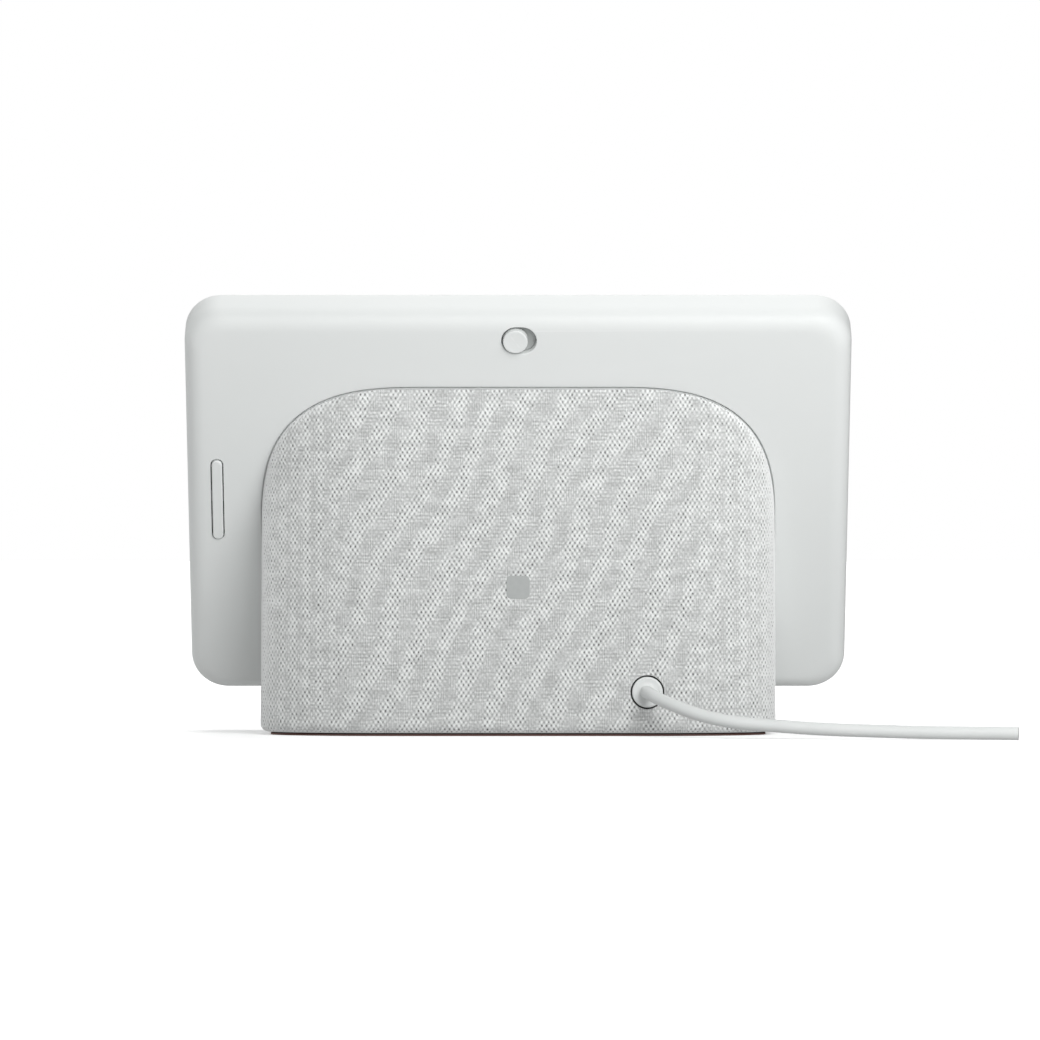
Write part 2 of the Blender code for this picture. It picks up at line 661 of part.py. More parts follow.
def grille_shell(frame, speaker):
    """The plastic carrier under the cloth, with screw bosses and sound holes in front of the speaker."""
    rings = body_rings(SHELL_INSET, 2.9 * MM, 6, 6)
    rings += reversed(body_rings(SHELL_INNER, 2.9 * MM, 6, 6))
    shell = finish("grille_shell", loft_rings(rings, closed=True), "frame_plastic")
    posts = bmesh.new()
    holes = bmesh.new()
    for x, y in BASE_SCREWS:
        add_rod(posts, 4.5 * MM, (x, y), 3.3 * MM, 12 * MM)
        add_rod(holes, 1.1 * MM, (x, y), 2.0 * MM, 10 * MM)
    boolean(shell, finish("shell_bosses", posts, None), "UNION")
    boolean(shell, finish("shell_boss_bores", holes, None))
    boolean(shell, slab_keep_out("shell_trim", frame, 2 * GAP))
    boolean(shell, round_cutter("shell_jack_cut", PLUG_RADIUS + 1.1 * MM, PLUG_X, PLUG_Z, 20 * MM, 40 * MM))
    sound = bmesh.new()
    pitch = 7.0 * MM
    for row in range(-2, 3):
        for column in range(5 - abs(row)):
            x = (column - (4 - abs(row)) / 2) * pitch
            add_rod(sound, 2.2 * MM, (x, row * pitch * math.sin(math.radians(60))), 0.3 * MM, 9 * MM, 8)
    boolean(shell, finish("sound_holes", sound, None, speaker))


def add_rod(source, radius, place, low, high, segments=12):
    """Adds an upright round rod to a mesh being built."""
    rod = turned([(radius, low), (radius, high)], segments)
    for vert in rod.verts:
        vert.co.x += place[0]
        vert.co.y += place[1]
    part = bpy.data.meshes.new("rod")
    rod.to_mesh(part)
    rod.free()
    source.from_mesh(part)


def base_plate():
    rings = [plan_ring(z, BASE_HALF_WIDTH, SHELL_INNER + 0.4 * MM, 6) for z in (0.9 * MM, 2.9 * MM)]
    plate = finish("base_plate", loft_rings(rings), "frame_plastic")
    counterbores = bmesh.new()
    bores = bmesh.new()
    for x, y in BASE_SCREWS:
        add_rod(counterbores, 2.1 * MM, (x, y), 0.4 * MM, 2.1 * MM)
        add_rod(bores, 1.1 * MM, (x, y), 1.0 * MM, 3.4 * MM)
    posts = bmesh.new()
    for x in (-46 * MM, 46 * MM):
        for y in (-4 * MM, 18 * MM):
            add_rod(posts, 2.0 * MM, (x, y), 2.0 * MM, 4.9 * MM)
    boolean(plate, finish("board_posts", posts, None), "UNION")
    boolean(plate, finish("plate_counterbores", counterbores, None))
    boolean(plate, finish("plate_bores", bores, None))


def rubber_foot():
    rings = []
    for extra, z in ((0.1 * MM, 0.0), (0.0, 0.12 * MM), (0.0, FOOT_THICKNESS)):
        rings.append(plan_ring(z, BASE_HALF_WIDTH, FOOT_INSET + extra))
    finish("rubber_foot", loft_rings(rings), "foot_coral")


def base_screws():
    for i, (x, y) in enumerate(BASE_SCREWS):
        turn = (math.radians(180), 0, 0)
        screw("base_screw_" + str(i + 1), None, (x, y, 1.9 * MM), turn, 7 * MM)


def display_bracket(frame):
    """A bent strip of steel from the base plate up the display's back, with two screws into it."""
    offset = 1.4 * MM / math.cos(SLAB_TILT)
    upright_y = -10.2 * MM
    bend_z = SLAB_FOOT_Z + (upright_y - offset - slab_back_y(SLAB_FOOT_Z)) / math.tan(SLAB_TILT)
    top_z = 61 * MM
    path = [
        (4 * MM, 4.1 * MM),
        (upright_y, 4.1 * MM),
        (upright_y, bend_z),
        (slab_back_y(top_z) + offset, top_z),
    ]
    bracket = finish("display_bracket", strip_source(path, 1.5 * MM, -30 * MM, 30 * MM), "sheet_steel")
    boolean(bracket, disc_cutters("bracket_holes", BRACKET_SCREWS, 1.1 * MM, 12 * MM, 18 * MM, frame))
    for i, (x, up) in enumerate(BRACKET_SCREWS):
        turn = (math.radians(-90), 0, 0)
        screw("bracket_screw_" + str(i + 1), frame, (x, 15.5 * MM, up), turn, 7 * MM)


def electronics():
    def block(name, finish_name, low, high, edge=0.0):
        made = finish(name, box_source([v * MM for v in low], [v * MM for v in high]), finish_name)
        if edge:
            bevel(made, edge * MM)
        return made

    block("main_board", "board_green", (-52, -7.5, 5.2), (52, 23, 6.8))
    block("shield_can", "sheet_steel", (-24, -4, 7.1), (12, 15, 9.6), 0.4)
    spreader = block("heat_spreader", "plate_aluminium", (-26, -5, 9.9), (14, 16, 11.1))
    fins = bmesh.new()
    for i in range(6):
        x = (-23 + 6 * i) * MM
        box_source((x, -4 * MM, 10.9 * MM), (x + 1.2 * MM, 9 * MM, 13.2 * MM), fins)
    boolean(spreader, finish("spreader_fins", fins, None), "UNION")


def power_jack():
    x, z = PLUG_X, PLUG_Z
    low = (x - 5.0 * MM, 11.5 * MM, 7.1 * MM)
    high = (x + 5.0 * MM, 22.9 * MM, 16.8 * MM)
    jack = finish("dc_jack", box_source(low, high), "frame_plastic")
    bevel(jack, 0.5 * MM)
    well = turned(
        [(0.9 * MM, 13 * MM), (3.1 * MM, 13 * MM), (3.1 * MM, 25 * MM), (0.9 * MM, 25 * MM)],
        24,
        closed=True,
    )
    into_base = (math.radians(-90), 0, 0)
    boolean(jack, finish("jack_well", well, None, None, (x, 0, z), into_base))
    inner, outer = PLUG_RADIUS + 0.3 * MM, PLUG_RADIUS + 0.8 * MM
    sleeve = turned(
        [(inner, 23.2 * MM), (outer, 23.2 * MM), (outer, 30.6 * MM), (inner, 30.6 * MM)],
        24,
        closed=True,
    )
    finish("jack_sleeve", sleeve, "gasket_black", None, (x, 0, z), into_base)


def power_plug():
    """The round plug: a barrel with a bore for the jack's pin, a body, and a socket for the cord."""
    shoulder, face = PLUG_SHOULDER_Y, PLUG_FACE_Y
    radius = PLUG_RADIUS
    profile = [
        (1.25 * MM, shoulder + 0.5 * MM),
        (1.25 * MM, shoulder - 9.4 * MM),
        (2.75 * MM, shoulder - 9.4 * MM),
        (2.75 * MM, shoulder),
        (radius, shoulder),
        (radius, face - 0.5 * MM),
        (radius - 0.15 * MM, face - 0.15 * MM),
        (radius - 0.5 * MM, face),
        (CABLE_RADIUS + 0.3 * MM, face),
        (CABLE_RADIUS + 0.3 * MM, face - 2.6 * MM),
    ]
    into_base = (math.radians(-90), 0, 0)
    finish("power_plug", turned(profile, 32), "cord_white", None, (PLUG_X, 0, PLUG_Z), into_base)


def power_cable():
    """The cord leaves the plug square to its face, turns aside and comes down to lie on the table."""
    on_table = CABLE_RADIUS + 0.05 * MM
    path = (
        (PLUG_X, PLUG_FACE_Y - 2.2 * MM, PLUG_Z),
        (PLUG_X, PLUG_FACE_Y + 3.5 * MM, PLUG_Z),
        (-39.5 * MM, 46.0 * MM, 9.2 * MM),
        (-52.0 * MM, 54.5 * MM, 5.2 * MM),
        (-70.0 * MM, 58.5 * MM, 3.3 * MM),
        (-98.0 * MM, 62.5 * MM, 2.1 * MM),
        (-130.5 * MM, 67.0 * MM, on_table),
    )
    return tube("power_cable", path, CABLE_RADIUS, "cord_white", 7, 3)


# ---- loudspeaker ----


def speaker_parts(axis_frame):
    """Turned pieces in the speaker's frame: Z 0 is the front of its flange, and +Z points to the grille."""

    def ring(name, finish_name, points, segments=32, closed=True):
        profile = [(radius * MM, height * MM) for radius, height in points]
        return finish(name, turned(profile, segments, closed), finish_name, axis_frame)

    basket = ring(
        "speaker_basket",
        "frame_plastic",
        [
            (18.2, 0.0),
            (22.0, 0.0),
            (22.0, -1.2),
            (19.6, -1.2),
            (19.2, -4.0),
            (13.4, -12.0),
            (8.2, -12.0),
            (8.2, -11.0),
            (12.6, -11.0),
            (18.2, -3.7),
        ],
    )
    windows = bmesh.new()
    for i in range(4):
        angle = math.radians(90 * i)
        place = (15.5 * MM * math.cos(angle), 15.5 * MM * math.sin(angle))
        add_rod(windows, 3.0 * MM, place, -14 * MM, -1.9 * MM, 12)
    boolean(basket, finish("basket_windows", windows, None, axis_frame))
    ring("speaker_gasket", "gasket_black", [(20.2, 0.3), (22.0, 0.3), (22.0, 1.6), (20.2, 1.6)])
    ring(
        "speaker_surround",
        "surround_rubber",
        [
            (14.6, 0.4),
            (15.2, 1.3),
            (16.4, 1.8),
            (17.6, 1.3),
            (18.3, 0.7),
            (19.8, 0.7),
            (19.8, 0.3),
            (18.1, 0.3),
            (17.3, 0.9),
            (16.4, 1.3),
            (15.5, 0.9),
            (15.0, 0.1),
        ],
    )
    ring(
        "speaker_spider",
        "spider_cloth",
        [
            (7.1, -9.8),
            (8.4, -10.0),
            (9.6, -9.6),
            (10.8, -10.0),
            (11.9, -9.8),
            (11.9, -10.2),
            (10.8, -10.4),
            (9.6, -10.0),
            (8.4, -10.4),
            (7.1, -10.2),
        ],
        24,
    )
    ring("speaker_cone", "cone_paper", [(7.2, -7.9), (14.2, -0.1), (14.2, -0.7), (7.2, -8.5)])
    ring(
        "dust_cap",
        "cone_paper",
        [(0.9, -5.0), (3.6, -5.7), (6.2, -8.0), (6.7, -7.8), (4.0, -5.2), (0.9, -4.5)],
        24,
        closed=False,
    )
    ring("voice_coil", "coil_copper", [(6.1, -8.6), (6.6, -8.6), (6.6, -16.0), (6.1, -16.0)], 24)
    ring(
        "speaker_magnet",
        "plate_aluminium",
        [
            (12.6, -21.0),
            (13.0, -20.6),
            (13.0, -12.8),
            (12.6, -12.4),
            (7.2, -12.4),
            (7.2, -18.6),
            (5.5, -18.6),
            (5.5, -12.4),
        ],
        closed=False,
    )


def speaker_wires():
    for name, finish_name, shift in (("plus", "wire_red", 0.0), ("minus", "wire_black", 3.0 * MM)):
        path = (
            (10 * MM + shift, 17.5 * MM, 20.0 * MM),
            (16 * MM + shift, 19.5 * MM, 13.0 * MM),
            (21 * MM + shift, 17.0 * MM, 7.6 * MM),
        )
        tube("speaker_wire_" + name, path, 0.45 * MM, finish_name, 5, 1)


def display_flex():
    """The flat cable from the display, through the cover's slot and down to the main board."""

    def from_slab(depth, up):
        y = SLAB_FOOT_Y + up * math.sin(SLAB_TILT) + depth * math.cos(SLAB_TILT)
        z = SLAB_FOOT_Z + up * math.cos(SLAB_TILT) - depth * math.sin(SLAB_TILT)
        return (y, z)

    path = [
        from_slab(4.7 * MM, FLEX_UP),
        from_slab(14.2 * MM, FLEX_UP),
        (-8.7 * MM, 28.8 * MM),
        (-8.9 * MM, 10.0 * MM),
        (-7.6 * MM, 7.8 * MM),
        (-4.5 * MM, 7.3 * MM),
    ]
    finish("display_flex", strip_source(path, 0.3 * MM, FLEX_LOW_X, FLEX_HIGH_X), "flex_amber")


def empty(name, location, rotation):
    made = bpy.data.objects.new(name, None)
    bpy.context.scene.collection.objects.link(made)
    made.location = location
    made.rotation_euler = rotation
    return made


clear_scene()
MATERIALS = make_materials()
slab = empty("slab_frame", (0, SLAB_FOOT_Y, SLAB_FOOT_Z), (-SLAB_TILT, 0, 0))
speaker_axis = empty("speaker_frame", (0, SPEAKER_Y, SPEAKER_Z), (SPEAKER_RISE - math.radians(90), 0, 0))

rear_cover(slab)
front_glass(slab)
glass_gasket(slab)
lcd_panel(slab)
backlight_tray(slab)
chassis_plate(slab)
sensors(slab)
antennas(slab)
chassis_screws(slab)
mute_switch(slab)
volume_rocker(slab)
volume_switches(slab)

fabric_sleeve(slab)
grille_shell(slab, speaker_axis)
base_plate()
rubber_foot()
base_screws()
display_bracket(slab)
electronics()
power_jack()
power_plug()
power_cable()
display_flex()
speaker_parts(speaker_axis)
speaker_wires()
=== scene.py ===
"""Looks of the smart display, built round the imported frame.

Metres, +Z up, in the frame's own coordinates: the screen faces -Y and the rear faces +Y. Pieces of the
display head are shaped in the slab's own axes: x across, depth into the slab from the glass, up along it.
"""

import json
import math

import bmesh
import bpy
import numpy as np
from mathutils import Matrix, Vector


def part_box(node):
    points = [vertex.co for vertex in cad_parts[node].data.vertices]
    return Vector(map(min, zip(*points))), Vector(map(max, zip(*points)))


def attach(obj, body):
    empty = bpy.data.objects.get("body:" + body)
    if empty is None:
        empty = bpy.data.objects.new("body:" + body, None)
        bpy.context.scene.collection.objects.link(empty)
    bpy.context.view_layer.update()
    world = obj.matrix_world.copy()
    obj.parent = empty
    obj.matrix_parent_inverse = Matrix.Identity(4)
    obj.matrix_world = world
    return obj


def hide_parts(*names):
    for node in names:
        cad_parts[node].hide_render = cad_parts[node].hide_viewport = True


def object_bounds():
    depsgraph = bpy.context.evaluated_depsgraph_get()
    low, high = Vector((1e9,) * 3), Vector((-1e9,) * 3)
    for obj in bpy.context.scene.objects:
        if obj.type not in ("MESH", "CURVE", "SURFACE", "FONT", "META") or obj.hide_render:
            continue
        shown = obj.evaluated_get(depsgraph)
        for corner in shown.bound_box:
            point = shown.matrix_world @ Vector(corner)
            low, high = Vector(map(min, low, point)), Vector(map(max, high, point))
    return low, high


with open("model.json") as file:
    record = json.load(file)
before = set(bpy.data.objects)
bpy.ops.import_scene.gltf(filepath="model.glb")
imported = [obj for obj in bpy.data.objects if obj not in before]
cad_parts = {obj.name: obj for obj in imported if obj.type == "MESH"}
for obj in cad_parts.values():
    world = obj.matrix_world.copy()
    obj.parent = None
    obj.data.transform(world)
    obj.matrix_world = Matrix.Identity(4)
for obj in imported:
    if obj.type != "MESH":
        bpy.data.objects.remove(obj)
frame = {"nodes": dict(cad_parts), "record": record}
CAD_LOW, CAD_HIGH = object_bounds()
NODES = frame["nodes"]

MM = 0.001

# Display slab; an inset outline's corner radius shrinks by TIGHTENS of the inset
SLAB_CORNER = 9.8 * MM
BACK_EDGE = 6.0 * MM
EDGE_POWER = 2.7
FRONT_EDGE = 0.5 * MM
TIGHTENS = 0.6
COVER_WALL = 1.8 * MM
WALL_TOP = 1.5 * MM
RIM_TOP = 0.1 * MM
RIM_WIDTH = 1.1 * MM
RIM_HEIGHT = 1.0 * MM
CORNER_STEPS = 24
EDGE_STEPS = 20
RIM_FILLET = 0.3 * MM
GLASS_EDGE = 0.35 * MM
PORT_RADIUS = 0.45 * MM
SCREEN_WIDTH = 154.2 * MM
SCREEN_HEIGHT = 85.9 * MM
SCREEN_CORNER = 1.2 * MM
SENSOR_WINDOW = 1.3 * MM
PRINT_SOFT = 0.05 * MM
PRINT_LINE = 0.5 * MM

# Openings and bosses of the cover; FROM and TO are depths into the slab, and the slot's sizes are its
# half width, half height and corner
BOSS_RADIUS = 2.3 * MM
BOSS_FROM, BOSS_TO = 6.1 * MM, 11.9 * MM
SCREW_BORE = 1.1 * MM
BORE_FROM, BORE_TO = 5.5 * MM, 11.0 * MM
BACK_FROM, BACK_TO = 10.0 * MM, 14.0 * MM
PAD_LEFT, PAD_RIGHT = -8.5 * MM, 8.1 * MM
PAD_BOTTOM, PAD_TOP = 101.0 * MM, 111.0 * MM
PAD_HALF = 1.0 * MM
RECESS_MARGIN = 0.2 * MM
RECESS_UNDER = 0.15 * MM
RECESS_ROUND = 0.99
SLOT_SIZES = (2.15 * MM, 1.2 * MM, 1.19 * MM)
SLOT_SHIFT = 0.95 * MM
SLOT_FROM, SLOT_TO = 9.0 * MM, 11.0 * MM
FLEX_MARGIN = 0.5 * MM
FLEX_BOTTOM, FLEX_TOP = 23.0 * MM, 25.0 * MM
CUT_LIFT = 0.01 * MM
CUT_PAST = 2.0 * MM
GROOVE_WIDTH = 0.45 * MM
GROOVE_DEPTH = 0.9 * MM

# Mute knob and volume key; each foot of the key is its place up the key, its half height and its lowest
# depth from the pin, in millimetres
STEM_RADIUS = 1.0 * MM
KNOB_UNDER = 11.5 * MM
KNOB_CHAMFER = 0.15 * MM
KNOB_FILLET = 0.32 * MM
DISH_DEPTH = 0.12 * MM
DISH_RIM = 0.86
DISH_SHARES = (0.82, 0.74, 0.6, 0.4, 0.2, 0.08)
KEY_GAP = 0.3 * MM
KEY_FLOOR = 10.5 * MM
KEY_ROUND = 0.98
KEY_EDGE = 0.4 * MM
KEY_UNDER = 1.6 * MM
KEY_FEET = ((-9.5, 1.1, 0.1), (9.5, 1.1, 0.1), (0, 1.3, -1.3))
FOOT_HALF = 1.0 * MM
FOOT_INTO_KEY = 2.0 * MM
PIN_BORE = 0.66 * MM
PIN_BORE_HALF = 3.0 * MM

# Fabric-covered base
BASE_TOP = 92.75 * MM
BASE_REAR_Y = 33.65 * MM
BASE_FRONT_Y = -16.0 * MM
BASE_LEAN = 13.4 * MM
LEAN_POWER = 1.25
ARCH_WIDTH = 43.0 * MM
ARCH_HEIGHT = 37.0 * MM
ARCH_POWER = 2.8
ARCH_GAP = 0.5 * MM
REAR_FLAT_HALF = 35.0 * MM
REAR_FLAT_MARGIN = 0.6 * MM
REAR_CORNER_DEPTH = 17.5 * MM
REAR_CORNER_LEAST = 0.8 * MM
REAR_TIGHTENS, FRONT_TIGHTENS = 0.4, 0.5
FRONT_CORNER = 9.0 * MM
HEM = 2.0 * MM
HEM_STEPS = 5
CLOTH_THICK = 1.0 * MM
SLEEVE_LIP = 3.4 * MM
CROWN_HEIGHT = 3.0 * MM
CROWN_ROWS = 18
INNER_SHARES = (1.0, 0.97, 0.93, 0.88, 0.8, 0.7, 0.5, 0.25, 0.0)
MARK_HALF = 3.1 * MM
MARK_UP = 39.6 * MM
MARK_CORNER = 1.3 * MM

# Power plug and cord
BARREL_LENGTH = 9.4 * MM
BARREL_RADIUS = 2.75 * MM
BARREL_TIP = 2.55 * MM
BARREL_CHAMFER = 0.2 * MM
BARREL_BORE = 1.25 * MM
BORE_PAST = 0.5 * MM
PLUG_SHOULDER = 0.3 * MM
PLUG_FILLET = 0.45 * MM
SOCKET_GAP = 0.03 * MM
SOCKET_DEPTH = 2.6 * MM
CABLE_RADIUS = 1.7 * MM
CABLE_LIFT = 0.05 * MM
JACK_GAP = 0.42 * MM
JACK_FROM, JACK_TO = 22.0 * MM, 40.0 * MM

# Weave of the fabric; each wave that bends its bands is its size in millimetres, its lengths across
# and up in metres, and its phase
STITCH_WIDTH = 1.26 * MM
STITCH_HEIGHT = 1.96 * MM
COLUMN = STITCH_WIDTH / 4
EVEN_COLUMNS = 244
SPREAD_COLUMNS = 120
RELIEF_LEAST, RELIEF_IN_BANDS = 0.025, 0.05
BAND_PITCH = 8.6 * MM
BAND_ACROSS, BAND_UP = 0.899, -0.438
BAND_WAVES = ((1.6, 0.083, 0.067, 0.0), (0.7, 0.031, -0.043, 1.3), (0.35, 0.013, 0.019, 4.0))
WALE_PITCH = 3.8 * MM
WALE_MIDDLE, WALE_SWING = 0.55, 0.25
SIDE_FROM, SIDE_OVER = 40 * MM, 16 * MM
SEAM_JUMP = 50 * MM
STITCH_DRIFT = 0.45 * MM
HOLE_FROM = 0.25
HOLE_CHANCE = 0.5, 1.4
LEAN_MOST = 0.45
HOLE_DARK = 0.42
YARN_LIGHT = 0.27
OPEN_TONE = 0.64
CLOSE_TONE = 0.57
OPEN_LEAST = 0.22
THREAD_TONE = 0.16
FIBRE_SPREAD = 0.18
ALONG_SPREAD = 0.10
HEATHER_SPREAD = 0.13
# Painted sheen: how much paler the cloth is painted where it turns away, and how sharply
PAINTED_SHEEN_LIFT = 1.1
PAINTED_SHEEN_POWER = 1.5
TONE_MOST = 0.92
RED_SHARE, BLUE_SHARE = 0.985, 0.993

# Finishes: tones as 0-255 display values, darker and lighter, unless they hold shares of light
SHELL_TONES = (230, 233, 232), (234, 236, 235)
# Paler tone on convex edges: a painted sheen; their extra gloss comes from wear
SHELL_WEAR_AND_SHEEN = (244, 245, 245)
SHELL_ROUGH = 0.46, 0.54
WEAR_AND_SHEEN_FROM_TO = 0.5, 0.62
WEAR_AND_SHEEN_SHOWN, WEAR_GLOSS = 0.35, 0.1
# Dark screen tones, lower and upper; the lighter upper tone is a painted glow
SCREEN_DARK_AND_GLOW = (0.004, 0.0045, 0.006, 1), (0.010, 0.011, 0.014, 1)
SENSOR_TONE = (0.03, 0.03, 0.035, 1)
BORDER_TONES = (219, 222, 221), (223, 225, 224)
BORDER_LINE = (176, 179, 178)
GLASS_ROUGH = 0.05, 0.09
CORD_TONES = (224, 227, 226), (231, 233, 232)
FOOT_TONES = (116, 84, 77), (130, 96, 88)
MARK_TONES = (166, 169, 168), (178, 181, 180)
FLAG_TONES = (0.72, 0.18, 0.03), (0.85, 0.25, 0.05)
FLAG_FROM, FLAG_TO = 0.35 * MM, 0.25 * MM
RECESS_GREY = (175, 178, 177)
INSERT_TONES = (170, 173, 172), (180, 183, 182)
STRIPE_DEPTH = 0.00005

# Studio: soft lobes of sky as (degrees from the camera's axis, elevation, sharpness, strength), and
# softboxes as (name, degrees from the camera's axis, elevation, distance, size, power, seen in gloss)
SKY_AROUND = 0.12
SKY_LOBES = ((25, 25, 10.0, 1.11), (-120, 10, 10.0, 1.69), (-90, 10, 10.0, 0.63))
SOFTBOXES = (("key", 21, 28, 0.55, 0.35, 1.85, True), ("top", 180, 60, 0.5, 0.4, 1.8, False))
FLOOR_HALF = 8.0
FLOOR_SEEN = 0.92
FLOOR_LIFT = 0.35
FLOOR_NEAR, FLOOR_FAR = 0.15, 0.45
FLOOR_BOUNCE = 0.3
# Floor's light from below, dimmed near the object as a painted contact shadow
GLOW_NEAR, GLOW_FAR = 0.07, 0.32
GLOW_LEAST, GLOW_MOST = 0.23, 0.43
LENS_LENGTH, SENSOR_WIDTH = 248.3, 36.0
CAMERA_PLACE = (-0.0005, 1.94, 0.0575)


# ---- places read from the frame ----


def node_points(name):
    vertices = NODES[name].data.vertices
    points = np.empty(len(vertices) * 3, np.float32)
    vertices.foreach_get("co", points)
    return points.reshape(-1, 3).astype(float)


def slab_axes():
    """The slab's own axes as a matrix; its origin is on the glass plane, at the slab's lowest edge."""
    faces = NODES["front_glass"].data.polygons
    front = max(faces, key=lambda face: face.area if face.normal.y < 0 else 0)
    across = Vector((1, 0, 0))
    into = -front.normal.normalized()
    up = across.cross(into)
    depth = into.dot(front.center)
    lowest = min(up.dot(Vector(point)) for point in node_points("rear_cover"))
    origin = into * depth + up * lowest
    turn = Matrix((across, into, up)).transposed().to_4x4()
    return Matrix.Translation(origin) @ turn


SLAB = slab_axes()


def slab_box(name):
    """Lowest and highest corner of a node in the slab's axes."""
    inward = np.array(SLAB.inverted())
    points = node_points(name) @ inward[:3, :3].T + inward[:3, 3]
    return points.min(0), points.max(0)


def middle(low, high):
    return (low + high) / 2


def slab_place(name):
    """Middle of a node on the slab, as (x, up)."""
    return middle(*slab_box(name))[::2]


def slab_half(name):
    """Half the width and half the height of a node on the slab."""
    low, high = slab_box(name)
    return (high - low)[::2] / 2


COVER_BOX = slab_box("rear_cover")
SLAB_WIDTH = COVER_BOX[1][0] - COVER_BOX[0][0]
SLAB_DEPTH = COVER_BOX[1][1]
SLAB_HEIGHT = COVER_BOX[1][2] - COVER_BOX[0][2]
SLAB_MIDDLE = SLAB_HEIGHT / 2
SLEEVE_LOW, SLEEVE_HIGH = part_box("fabric_sleeve")
BASE_HALF = SLEEVE_HIGH.x
CLOTH_BOTTOM = SLEEVE_LOW.z


# ---- meshes ----


def loft(rings, closed=False):
    """Points and faces through rings; closed joins the last ring to the first."""
    count = len(rings[0])
    total = count * len(rings)
    faces = []
    for low in range(0, total if closed else total - count, count):
        high = (low + count) % total
        for i in range(count):
            j = (i + 1) % count
            faces.append((low + i, low + j, high + j, high + i))
    if not closed:
        faces.append(tuple(reversed(range(count))))
        faces.append(tuple(range(total - count, total)))
    return [tuple(point) for ring in rings for point in ring], faces


def rework(mesh, change=None):
    """Applies a change to a mesh, then faces its normals out."""
    source = bmesh.new()
    source.from_mesh(mesh)
    if change is not None:
        change(source)
    bmesh.ops.recalc_face_normals(source, faces=source.faces)
    source.to_mesh(mesh)
    source.free()


def linked(name, data):
    made = bpy.data.objects.new(name, data)
    bpy.context.scene.collection.objects.link(made)
    return made


def solid(name, shape, matrix=None):
    """An object from (points, faces), with its place in its mesh."""
    mesh = bpy.data.meshes.new(name)
    mesh.from_pydata(shape[0], [], shape[1])
    if matrix is not None:
        mesh.transform(matrix)
    rework(mesh)
    return linked(name, mesh)


def applied(made):
    """A mesh of an object with its modifiers applied."""
    graph = bpy.context.evaluated_depsgraph_get()
    return bpy.data.meshes.new_from_object(made.evaluated_get(graph))


def cut(target, tool, operation="DIFFERENCE"):
    """Applies a Boolean with a tool, then removes the tool."""
    change = target.modifiers.new("cut", "BOOLEAN")
    change.operation = operation
    change.solver = "EXACT"
    change.object = tool
    result = applied(target)
    target.modifiers.clear()
    target.data = result
    bpy.data.objects.remove(tool)


def smooth(piece, degrees):
    """Shades smooth below an angle, and lets large faces keep their own normals."""
    piece.data.shade_smooth()
    piece.data.set_sharp_from_angle(angle=math.radians(degrees))
    change = piece.modifiers.new("normals", "WEIGHTED_NORMAL")
    change.keep_sharp = True


def place(piece, body, finish, replaced=None, sharp_from=35):
    """Shades a piece, gives it its material and body, and hides the CAD node it stands for."""
    if sharp_from:
        smooth(piece, sharp_from)
    piece.data.materials.clear()
    piece.data.materials.append(finish)
    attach(piece, body)
    if replaced:
        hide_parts(replaced)


def quarter(steps):
    """Angles from 0 to 90 degrees, both ends included."""
    return [math.pi / 2 * i / steps for i in range(steps + 1)]


def rounding(radius, steps):
    """(inset, drop) pairs of a convex round, from its side to its top."""
    return [(radius * (1 - math.cos(angle)), radius * (1 - math.sin(angle))) for angle in quarter(steps)]


def round_rect(half_x, half_z, radius, steps, centre=(0.0, 0.0)):
    """Points of a rounded rectangle, anticlockwise from its +X side."""
    points = []
    for turn, side_x, side_z in ((0, 1, 1), (1, -1, 1), (2, -1, -1), (3, 1, -1)):
        corner_x = side_x * (half_x - radius)
        corner_z = side_z * (half_z - radius)
        for angle in quarter(steps):
            swung = angle + turn * math.pi / 2
            x = corner_x + radius * math.cos(swung)
            z = corner_z + radius * math.sin(swung)
            points.append((centre[0] + x, centre[1] + z))
    return points


def slab_ring(half_x, half_z, radius, depth, centre=(0.0, SLAB_MIDDLE), steps=CORNER_STEPS):
    """A rounded rectangle parallel to the glass, at a depth into the slab."""
    return [(x, depth, up) for x, up in round_rect(half_x, half_z, radius, steps, centre)]


def turned(profile, segments):
    """Rings about local Z from (radius, height) pairs."""
    angles = [2 * math.pi * i / segments for i in range(segments)]
    rings = []
    for radius, height in profile:
        rings.append([(radius * math.cos(a), radius * math.sin(a), height) for a in angles])
    return rings


def fillet(corner_radius, corner_height, radius, steps):
    """(radius, height) pairs of a convex round at an outer corner, from side to top."""
    return [(corner_radius - inset, corner_height - drop) for inset, drop in rounding(radius, steps)]


def rod(name, radius, low, high, matrix, segments=32):
    return solid(name, loft(turned([(radius, low), (radius, high)], segments)), matrix)


def box(name, low, high):
    """A block between two corners given in the slab's axes."""
    x0, y0, z0 = low
    x1, y1, z1 = high
    rings = [[(x0, y0, z), (x1, y0, z), (x1, y1, z), (x0, y1, z)] for z in (z0, z1)]
    return solid(name, loft(rings), SLAB)


LAID_BACK = Matrix.Rotation(math.radians(-90), 4, "X")


def along_depth(x, up):
    """Local Z along the slab's depth, at a place on the slab."""
    return SLAB @ Matrix.Translation((x, 0, up)) @ LAID_BACK


# ---- display head ----


def back_depth(up):
    """Depth of the cover's outer surface at a height, away from its side edges."""
    into_edge = max(up - (SLAB_HEIGHT - BACK_EDGE), BACK_EDGE - up, 0.0) / BACK_EDGE
    bulge = (1 - into_edge**EDGE_POWER) ** (1 / EDGE_POWER)
    return SLAB_DEPTH - BACK_EDGE * (1 - bulge)


